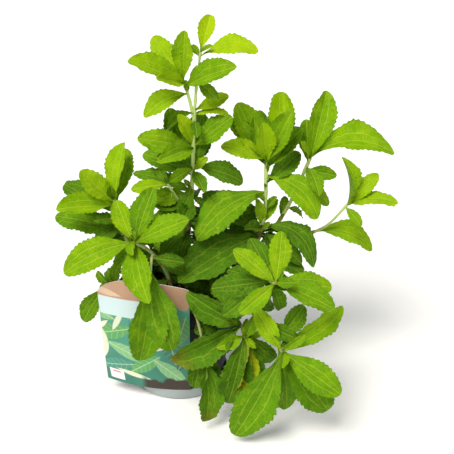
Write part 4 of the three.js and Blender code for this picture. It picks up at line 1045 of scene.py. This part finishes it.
leafLook = {
    "Leaf rows": 60, "Leaf columns": 9, "Leaf thickness": 0.3 * mm, "Petiole thickness": 1.2 * mm,
    "Tooth depth": 0.12, "Teeth per metre": 225.0, "Fold share": 1.3, "Vein relief": 0.38 * mm,
    "Blister height": 3.2 * mm,
    "Stem sides": 10, "Hairs per square metre": 260000.0, "Hair length": 0.9 * mm, "Seed": 7,
    "Leaf material": leafMaterial(leafFinish, leafFades), "Stem material": stemMaterial(stemFinish),
}


# The flat blank of a leaf, two sheets closed round their border: u is X from root to tip, v is Y from
# edge to edge, and Z is 1 on the upper sheet, -1 on the lower one and 0 on the border
def leafBlank(tree, given):
    grid = addNode(tree, "MeshGrid", {
        "Size X": 1.0, "Size Y": 2.0,
        "Vertices X": given["Leaf rows"], "Vertices Y": given["Leaf columns"]})
    place = addNode(tree, "InputPosition")
    x, y, _ = addNode(tree, "SeparateXYZ", [place], out=None).outputs
    u = addNode(tree, "Math:ADD", [x, 0.5])
    fromMiddle = addNode(tree, "Math:ABSOLUTE", [y])
    closer = addNode(tree, "Math:POWER", [fromMiddle, 1.25])  # columns stand closer by the midrib
    side = addNode(tree, "Math:SIGN", [y])
    v = addNode(tree, "Math:MULTIPLY", [closer, side])
    insideV = addNode(tree, "Math:LESS_THAN", [fromMiddle, 0.999])
    fromCentre = addNode(tree, "Math:ABSOLUTE", [x])
    insideU = addNode(tree, "Math:LESS_THAN", [fromCentre, 0.499])
    inside = addNode(tree, "Math:MULTIPLY", [insideU, insideV])
    sheets = []  # the upper one and the lower one
    for way in (1.0, -1.0):
        lift = addNode(tree, "Math:MULTIPLY", [inside, way])
        spot = addNode(tree, "CombineXYZ", [u, v, lift])
        sheet = addNode(tree, "SetPosition", {"Geometry": grid, "Position": spot})
        sheets.append(sheet if way > 0 else addNode(tree, "FlipFaces", [sheet]))
    both = addNode(tree, "JoinGeometry", {0: sheets})
    closed = addNode(tree, "MergeByDistance", {"Geometry": both, "Distance": 1e-4})
    return addNode(tree, "StoreNamedAttribute", {"Geometry": closed, "Name": "blank", "Value": place},
                   data_type="FLOAT_VECTOR", domain="POINT")


# The blade's finer form. Bluntness, droop and ripple depth are what they gain from root to tip or with age,
# and what they start from. Cup is how far it swings and about what, and teeth are the fewest and the most.
# Reaches and grooves are shares of the blade's length and of its half width. The leaf's own phase, times
# the last three, sets its cup, blisters and veins apart from its neighbours'. A blister is about 8 mm long.
bladeForm = dict(
    bluntness=(-0.6, 1.1), droop=(0.06, 0.02), teeth=(5.0, 15.0), toothPeak=0.72, toothMiddle=0.65,
    toothStagger=0.3, toothEdge=5.0, toothedReach=(0.24, 0.4), tipReach=(0.9, 1.0), ripples=21.0,
    rippleStagger=1.3, rippleDepth=(0.018, 0.007), cup=(0.055, 0.015), midGroove=(0.0, 0.17, -1.0, 0.0),
    sideGroove=(0.0, 0.2, -0.7, 0.0), quilts=8.0, quiltLean=-1.1, blistersPerMetre=130.0,
    blisterShape=(1.0, 0.25, 0.0), blistered=0.15, petioleReach=0.16, sway=0.03, twist=0.3,
    cupApart=46.0, blistersApart=90.0, veinsApart=100.0)


# Bends a leaf's blank into its blade: arched along its length, folded at the midrib, waved and toothed
def shapeLeaf(tree, given, leaves):
    read = {name: addNode(tree, "InputNamedAttribute", {"Name": name}, data_type="FLOAT_VECTOR")
            for name in ("blank", "chord", "face", "shape", "form", "marks")}
    u, v, lift = addNode(tree, "SeparateXYZ", [read["blank"]], out=None).outputs
    length, widthShare, fold = addNode(tree, "SeparateXYZ", [read["shape"]], out=None).outputs
    fold = addNode(tree, "Math:MULTIPLY", [fold, given["Fold share"]])
    arch, phase, tone = addNode(tree, "SeparateXYZ", [read["form"]], out=None).outputs
    _, pucker, swayShare = addNode(tree, "SeparateXYZ", [read["marks"]], out=None).outputs
    chord, face = read["chord"], read["face"]
    side = addNode(tree, "VectorMath:CROSS_PRODUCT", [face, chord])
    place = addNode(tree, "InputPosition")
    root = addNode(tree, "VectorMath:SUBTRACT", [place, read["blank"]])

    # Along the arch
    half = addNode(tree, "Math:MULTIPLY", [arch, 0.5])
    bend = addNode(tree, "Math:SUBTRACT", [u, 0.5])
    bend = addNode(tree, "Math:MULTIPLY", [bend, arch])
    sinHalf, sinBend, sinFold = (addNode(tree, "Math:SINE", [angle]) for angle in (half, bend, fold))
    cosHalf, cosBend, cosFold = (addNode(tree, "Math:COSINE", [angle]) for angle in (half, bend, fold))
    radius = addNode(tree, "Math:DIVIDE", [length, sinHalf])
    radius = addNode(tree, "Math:MULTIPLY", [radius, 0.5])
    along = addNode(tree, "Math:ADD", [sinBend, sinHalf])
    along = addNode(tree, "Math:MULTIPLY", [along, radius])
    up = addNode(tree, "Math:SUBTRACT", [cosBend, cosHalf])
    up = addNode(tree, "Math:MULTIPLY", [up, radius])
    droop = addNode(tree, "Math:POWER", [u, 3.0])  # an older blade nods at its tip
    droop = addNode(tree, "Math:MULTIPLY", [droop, length])
    droopShare = addNode(tree, "Math:MULTIPLY_ADD", [tone, *bladeForm["droop"]])
    droop = addNode(tree, "Math:MULTIPLY", [droop, droopShare])
    up = addNode(tree, "Math:SUBTRACT", [up, droop])

    # Half the width: narrow at the root, widest past the middle, and a rounder tip than the CAD model's
    swell = addNode(tree, "Math:POWER", [u, blade["swell"]])
    swell = addNode(tree, "Math:MULTIPLY", [swell, math.pi])
    swell = addNode(tree, "Math:SINE", [swell])
    swell = addNode(tree, "Math:MAXIMUM", [swell, 0.0])
    bluntness = addNode(tree, "Math:MULTIPLY_ADD", [u, *bladeForm["bluntness"]])
    swell = addNode(tree, "Math:POWER", [swell, bluntness])
    stalk = addNode(tree, "Math:MULTIPLY_ADD", [u, -blade["stalk"], blade["stalk"]])
    halfWidth = addNode(tree, "Math:MULTIPLY_ADD", [swell, widthShare, stalk])
    halfWidth = addNode(tree, "Math:MULTIPLY", [halfWidth, length])

    # Teeth like a saw's that lean towards the tip, a long rise and a short fall, past the narrow root
    across = addNode(tree, "Math:ABSOLUTE", [v])
    hand = addNode(tree, "Math:SIGN", [v])
    teeth = addNode(tree, "Math:MULTIPLY", [length, given["Teeth per metre"]])
    teeth = addNode(tree, "Clamp", [teeth, *bladeForm["teeth"]])
    tooth = addNode(tree, "Math:MULTIPLY_ADD", [u, teeth, phase])
    tooth = addNode(tree, "Math:MULTIPLY_ADD", [hand, bladeForm["toothStagger"], tooth])
    tooth = addNode(tree, "Math:FRACT", [tooth])
    rise = addNode(tree, "MapRange", [tooth, 0.0, bladeForm["toothPeak"], 0.0, 1.0])
    fall = addNode(tree, "MapRange", [tooth, bladeForm["toothPeak"], 1.0, 1.0, 0.0])
    tooth = addNode(tree, "Math:MINIMUM", [rise, fall])
    tooth = addNode(tree, "Math:SUBTRACT", [tooth, bladeForm["toothMiddle"]])
    toothed = addNode(tree, "MapRange", [u, *bladeForm["toothedReach"], 0.0, 1.0],
                      interpolation_type="SMOOTHSTEP")
    atEdge = addNode(tree, "Math:POWER", [across, bladeForm["toothEdge"]])
    for share in (toothed, atEdge):
        tooth = addNode(tree, "Math:MULTIPLY", [tooth, share])
    tooth = addNode(tree, "Math:MULTIPLY_ADD", [tooth, given["Tooth depth"], 1.0])
    reach = addNode(tree, "Math:MULTIPLY", [across, halfWidth])
    reach = addNode(tree, "Math:MULTIPLY", [reach, tooth])

    # The edge waves, more on an older blade, and the skin is quilted between sunken veins and blistered
    tipFade = addNode(tree, "MapRange", [u, *bladeForm["tipReach"], 1.0, 0.0],
                      interpolation_type="SMOOTHSTEP")
    wave = addNode(tree, "Math:MULTIPLY_ADD", [u, blade["waves"], phase])
    wave = addNode(tree, "Math:MULTIPLY_ADD", [v, blade["waveLean"], wave])
    wave = addNode(tree, "Math:MULTIPLY", [wave, 2 * math.pi])
    wave = addNode(tree, "Math:SINE", [wave])
    wave = addNode(tree, "Math:MULTIPLY", [wave, blade["wave"]])
    ripple = addNode(tree, "Math:MULTIPLY_ADD", [u, bladeForm["ripples"], phase])
    ripple = addNode(tree, "Math:MULTIPLY_ADD", [hand, bladeForm["rippleStagger"], ripple])
    ripple = addNode(tree, "Math:SINE", [ripple])
    rippled = addNode(tree, "Math:MULTIPLY_ADD", [tone, *bladeForm["rippleDepth"]])
    wave = addNode(tree, "Math:MULTIPLY_ADD", [ripple, rippled, wave])
    cup = addNode(tree, "Math:MULTIPLY", [phase, bladeForm["cupApart"]])
    cup = addNode(tree, "Math:SINE", [cup])  # a gutter, or edges that turn down
    cup = addNode(tree, "Math:MULTIPLY_ADD", [cup, *bladeForm["cup"]])
    wave = addNode(tree, "Math:ADD", [wave, cup])
    for factor in (across, across, length):
        wave = addNode(tree, "Math:MULTIPLY", [wave, factor])
    groove = addNode(tree, "MapRange", [across, *bladeForm["midGroove"]],
                     interpolation_type="SMOOTHSTEP")
    besideVein = addNode(tree, "Math:SUBTRACT", [across, blade["sideVein"]])
    besideVein = addNode(tree, "Math:ABSOLUTE", [besideVein])
    sideGroove = addNode(tree, "MapRange", [besideVein, *bladeForm["sideGroove"]],
                         interpolation_type="SMOOTHSTEP")
    quilt = addNode(tree, "Math:MULTIPLY_ADD", [across, bladeForm["quiltLean"], phase])
    quilt = addNode(tree, "Math:MULTIPLY_ADD", [u, bladeForm["quilts"], quilt])
    quilt = addNode(tree, "Math:MULTIPLY", [quilt, 2 * math.pi])
    quilt = addNode(tree, "Math:SINE", [quilt])
    quilt = addNode(tree, "Math:MULTIPLY", [quilt, across])
    relief = addNode(tree, "Math:ADD", [groove, sideGroove])
    relief = addNode(tree, "Math:ADD", [relief, quilt])
    relief = addNode(tree, "Math:MULTIPLY", [relief, given["Vein relief"]])
    onBlade = addNode(tree, "Math:MULTIPLY", [length, bladeForm["blistersPerMetre"]])
    onBlade = addNode(tree, "VectorMath:SCALE", {0: read["blank"], "Scale": onBlade})
    onBlade = addNode(tree, "VectorMath:MULTIPLY", [onBlade, bladeForm["blisterShape"]])
    apart = addNode(tree, "Math:MULTIPLY", [phase, bladeForm["blistersApart"]])
    apart = addNode(tree, "CombineXYZ", [0.0, 0.0, apart])
    onBlade = addNode(tree, "VectorMath:ADD", [onBlade, apart])
    blister = addNode(tree, "TexNoise", {"Vector": onBlade, "Scale": 1.0, "Detail": 1.0})
    blister = addNode(tree, "Math:SUBTRACT", [blister, 0.5])
    blistered = addNode(tree, "Math:MULTIPLY_ADD", [tone, bladeForm["blistered"], pucker])
    blister = addNode(tree, "Math:MULTIPLY", [blister, blistered])
    relief = addNode(tree, "Math:MULTIPLY_ADD", [blister, given["Blister height"], relief])
    relief = addNode(tree, "Math:ADD", [relief, wave])
    relief = addNode(tree, "Math:MULTIPLY", [relief, tipFade])

    # Thin as paper, but a stout stalk where the blade leaves the stem
    stout = addNode(tree, "MapRange", [u, 0.0, bladeForm["petioleReach"], 1.0, 0.0],
                    interpolation_type="SMOOTHSTEP")
    thick = addNode(tree, "Math:MULTIPLY_ADD", [stout, given["Petiole thickness"], given["Leaf thickness"]])
    thick = addNode(tree, "Math:MULTIPLY", [thick, 0.5])
    lift = addNode(tree, "Math:MULTIPLY", [lift, thick])

    # A slight sway and twist towards the tip
    turned = addNode(tree, "Math:MULTIPLY", [phase, 2 * math.pi])
    turned = addNode(tree, "Math:SINE", [turned])
    fromRoot = addNode(tree, "Math:MULTIPLY", [u, u])
    sway, twist = turned, turned
    for factor in (fromRoot, length, bladeForm["sway"]):
        sway = addNode(tree, "Math:MULTIPLY", [sway, factor])
    middle = addNode(tree, "Math:SUBTRACT", [u, fromRoot])
    for factor in (length, 4.0):
        middle = addNode(tree, "Math:MULTIPLY", [middle, factor])
    sway = addNode(tree, "Math:MULTIPLY_ADD", [middle, swayShare, sway])
    for factor in (u, bladeForm["twist"]):
        twist = addNode(tree, "Math:MULTIPLY", [twist, factor])
    back = addNode(tree, "Math:MULTIPLY", [sinBend, -1.0])
    back = addNode(tree, "VectorMath:SCALE", {0: chord, "Scale": back})
    front = addNode(tree, "VectorMath:SCALE", {0: face, "Scale": cosBend})
    out = addNode(tree, "VectorMath:ADD", [back, front])
    sideways, outwards = (addNode(tree, "VectorRotate", {"Vector": vector, "Axis": chord, "Angle": twist},
                                  rotation_type="AXIS_ANGLE") for vector in (side, out))

    # From the root along the chord, up off it, across the blade and out of it
    flat = addNode(tree, "Math:MULTIPLY", [reach, cosFold])
    tilted = addNode(tree, "Math:MULTIPLY", [lift, sinFold])
    flat = addNode(tree, "Math:SUBTRACT", [flat, tilted])
    flat = addNode(tree, "Math:MULTIPLY_ADD", [flat, hand, sway])
    raised = addNode(tree, "Math:MULTIPLY_ADD", [reach, sinFold, relief])
    raised = addNode(tree, "Math:MULTIPLY_ADD", [lift, cosFold, raised])
    spot = root
    for vector, distance in ((chord, along), (face, up), (sideways, flat), (outwards, raised)):
        step = addNode(tree, "VectorMath:SCALE", {0: vector, "Scale": distance})
        spot = addNode(tree, "VectorMath:ADD", [spot, step])
    bent = addNode(tree, "SetPosition", {"Geometry": leaves, "Position": spot})

    # Millimetres along and across the blade, for the vein pattern, each leaf on its own stretch of it
    ways = []
    for distance, share in ((u, length), (reach, hand)):
        way = addNode(tree, "Math:MULTIPLY", [distance, share])
        ways.append(addNode(tree, "Math:MULTIPLY", [way, 1 / mm]))
    stretch = addNode(tree, "Math:MULTIPLY", [phase, bladeForm["veinsApart"]])
    spread = addNode(tree, "CombineXYZ", [*ways, stretch])
    bent = addNode(tree, "StoreNamedAttribute", {"Geometry": bent, "Name": "spread", "Value": spread},
                   data_type="FLOAT_VECTOR", domain="POINT")
    blankLift = addNode(tree, "SeparateXYZ", [read["blank"]], out=2)
    blankLift = addNode(tree, "Math:ABSOLUTE", [blankLift])
    onBorder = addNode(tree, "Math:LESS_THAN", [blankLift, 0.01])
    crisp = addNode(tree, "StoreNamedAttribute", {
        "Geometry": bent, "Name": "sharp_edge", "Value": onBorder}, data_type="BOOLEAN", domain="EDGE")
    return addNode(tree, "MergeByDistance", {"Geometry": crisp, "Distance": 0.02 * mm})


# A hair's half width is a share of its length, stouter than real down, which is too fine to show
hairRange = dict(slimness=0.06, size=(0.5, 1.2), tilt=((-0.6, -0.6, -3.1), (0.6, 0.6, 3.1)))


def stemTubes(tree, given, plan):  # round stems along the plan's lines, with fine hairs standing off them
    line = addNode(tree, "MeshToCurve", {"Mesh": plan})
    ring = addNode(tree, "CurvePrimitiveCircle", {"Resolution": given["Stem sides"], "Radius": 1.0})
    radius = addNode(tree, "InputNamedAttribute", {"Name": "stemRadius"}, data_type="FLOAT")
    tubes = addNode(tree, "CurveToMesh", {
        "Curve": line, "Profile Curve": ring, "Scale": radius, "Fill Caps": True})
    roots = addNode(tree, "DistributePointsOnFaces", {
        "Mesh": tubes, "Density": given["Hairs per square metre"], "Seed": given["Seed"]}, out=None)
    width = addNode(tree, "Math:MULTIPLY", [given["Hair length"], hairRange["slimness"]])
    hair = addNode(tree, "MeshCone", {
        "Vertices": 3, "Radius Top": 0.0, "Radius Bottom": width, "Depth": given["Hair length"]})
    least, most = hairRange["size"]
    size = addNode(tree, "RandomValue", {2: least, 3: most, "Seed": given["Seed"]}, out=1)
    least, most = hairRange["tilt"]
    tilt = addNode(tree, "RandomValue", {0: least, 1: most, "Seed": given["Seed"]},
                   data_type="FLOAT_VECTOR")
    tilt = addNode(tree, "EulerToRotation", [tilt])
    turned = addNode(tree, "RotateRotation", [roots.outputs["Rotation"], tilt], rotation_space="LOCAL")
    hairs = addNode(tree, "InstanceOnPoints", {
        "Points": roots.outputs["Points"], "Instance": hair, "Rotation": turned, "Scale": size})
    hairs = addNode(tree, "RealizeInstances", [hairs])
    both = addNode(tree, "JoinGeometry", {0: [tubes, hairs]})
    return addNode(tree, "StoreNamedAttribute", {"Geometry": both, "Name": "isStem", "Value": True},
                   data_type="BOOLEAN", domain="FACE")


def leafyStemTree(look):
    tree, given = newTree("leafyStem", look)
    plan = given["Geometry"]
    blank = leafBlank(tree, given)
    radius = addNode(tree, "InputNamedAttribute", {"Name": "stemRadius"}, data_type="FLOAT")
    isLeaf = addNode(tree, "Math:LESS_THAN", [radius, 1e-6])
    leaves = addNode(tree, "InstanceOnPoints", {"Points": plan, "Selection": isLeaf, "Instance": blank})
    leaves = addNode(tree, "RealizeInstances", [leaves])
    leaves = shapeLeaf(tree, given, leaves)
    both = addNode(tree, "JoinGeometry", {0: [leaves, stemTubes(tree, given, plan)]})
    smooth = addNode(tree, "SetShadeSmooth", {"Geometry": both, "Shade Smooth": True})
    whole = addNode(tree, "RealizeInstances", [smooth])
    whole = addNode(tree, "SetMaterial", {"Geometry": whole, "Material": given["Leaf material"]})
    isStem = addNode(tree, "InputNamedAttribute", {"Name": "isStem"}, data_type="BOOLEAN")
    whole = addNode(tree, "SetMaterial", {
        "Geometry": whole, "Selection": isStem, "Material": given["Stem material"]})
    addNode(tree, "GroupOutput", [whole], out=None)
    return tree


# In millimetres, and places as shares of the shoot. A knot is where leaves sit, and two more stand bare.
# Scars fade out towards the shoot's tip.
stemDetail = dict(step=1.5, knotSwell=0.35, knotLength=2.2, youngHeight=120, bareKnots=(0.3, 0.5),
                  scarEnd=0.9, scarFade=5)
leastArch = 0.02  # a straight blade's arc would have no radius


# The plan that the tree grows on: a loose point for each leaf's root, and a line along each shoot
def plantPlan(stem):
    points, edges, rows = [], [], []
    for leaf in stem["leaves"]:
        points.append(leaf["root"])
        arch = leaf["arch"] if abs(leaf["arch"]) > leastArch else leastArch
        rows.append(dict(chord=leaf["chord"], face=leaf["face"], stemRadius=0, knot=0, age=0,
                         marks=(leaf["tipMark"], leaf["pucker"], leaf["sway"]),
                         shape=(leaf["length"] * mm, leaf["widthShare"], math.radians(leaf["fold"])),
                         form=(arch, leaf["phase"], leaf["tone"])))
    none = (0, 0, 0)
    for shoot in stem["shoots"]:
        count = math.ceil(pathLength(shoot) / stemDetail["step"])
        places = np.arange(count + 1) / count
        knots = np.array(sorted({row[0] for row in shoot["blades"]} | {*stemDetail["bareKnots"]}))
        away = np.abs(places[:, None] - knots[None]).min(axis=1) * pathLength(shoot)
        knot = np.exp(-(away / stemDetail["knotLength"]) ** 2)
        radii = stemRadius(shoot, places) + stemDetail["knotSwell"] * knot
        scar = knot * np.clip((stemDetail["scarEnd"] - places) * stemDetail["scarFade"], 0, 1)
        for i, centre in enumerate(pathPoints(shoot, places)):
            if i:
                edges.append((len(points) - 1, len(points)))
            points.append(centre)
            rows.append(dict(chord=none, face=none, shape=none, form=none, marks=none,
                             stemRadius=radii[i] * mm, knot=scar[i],
                             age=min(1, (centre[2] - soilTop) / stemDetail["youngHeight"])))
    plan = meshObject(stem["piece"], points, edges=edges)
    for name in rows[0]:
        storeValues(plan.data, name, [row[name] for row in rows])
    return plan


def growLeafyStems():
    tree = leafyStemTree(leafLook)
    for stem in leafyStems:
        dress(grown(plantPlan(stem), tree, leafLook), "leaf_green", stem["node"])


growLeafyStems()

# A pale paper sweep, a wide soft sun from the front left and an even sky
studio = dict(floor="FFFFFF", floorReach=60000, sky="FFFFFF", skyStrength=0.5, sunColour="FFFBF2",
              sunStrength=2.98, sunWidth=30, sunFrom=(-0.4, -0.65, 1.0))


def makeStudio(plan):
    reach = plan["floorReach"]
    corners = [(-reach, -reach, -1), (reach, -reach, -1), (reach, reach, -1), (-reach, reach, -1)]
    floor = meshObject("studioFloor", corners, faces=[(0, 1, 2, 3)])
    material, tree, output = newMaterial("paperSweep")
    surface = addNode(tree, "BsdfPrincipled", {
        "Base Color": plan["floor"], "Roughness": 0.9, "Specular IOR Level": 0.1})
    tree.links.new(surface, output.inputs["Surface"])
    floor.data.materials.append(material)
    data = bpy.data.lights.new("sun", "SUN")
    data.energy, data.angle = plan["sunStrength"], math.radians(plan["sunWidth"])
    data.color = linearColour(plan["sunColour"])[:3]
    sun = bpy.data.objects.new("sun", data)
    sun.rotation_euler = (-Vector(plan["sunFrom"])).to_track_quat("-Z", "Y").to_euler()
    scene.collection.objects.link(sun)
    world = bpy.data.worlds.new("studio")
    world.use_nodes = True
    background = world.node_tree.nodes["Background"]
    background.inputs["Color"].default_value = linearColour(plan["sky"])
    background.inputs["Strength"].default_value = plan["skyStrength"]
    scene.world = world
    scene.view_settings.view_transform = "Standard"


makeStudio(studio)
print("studio set")
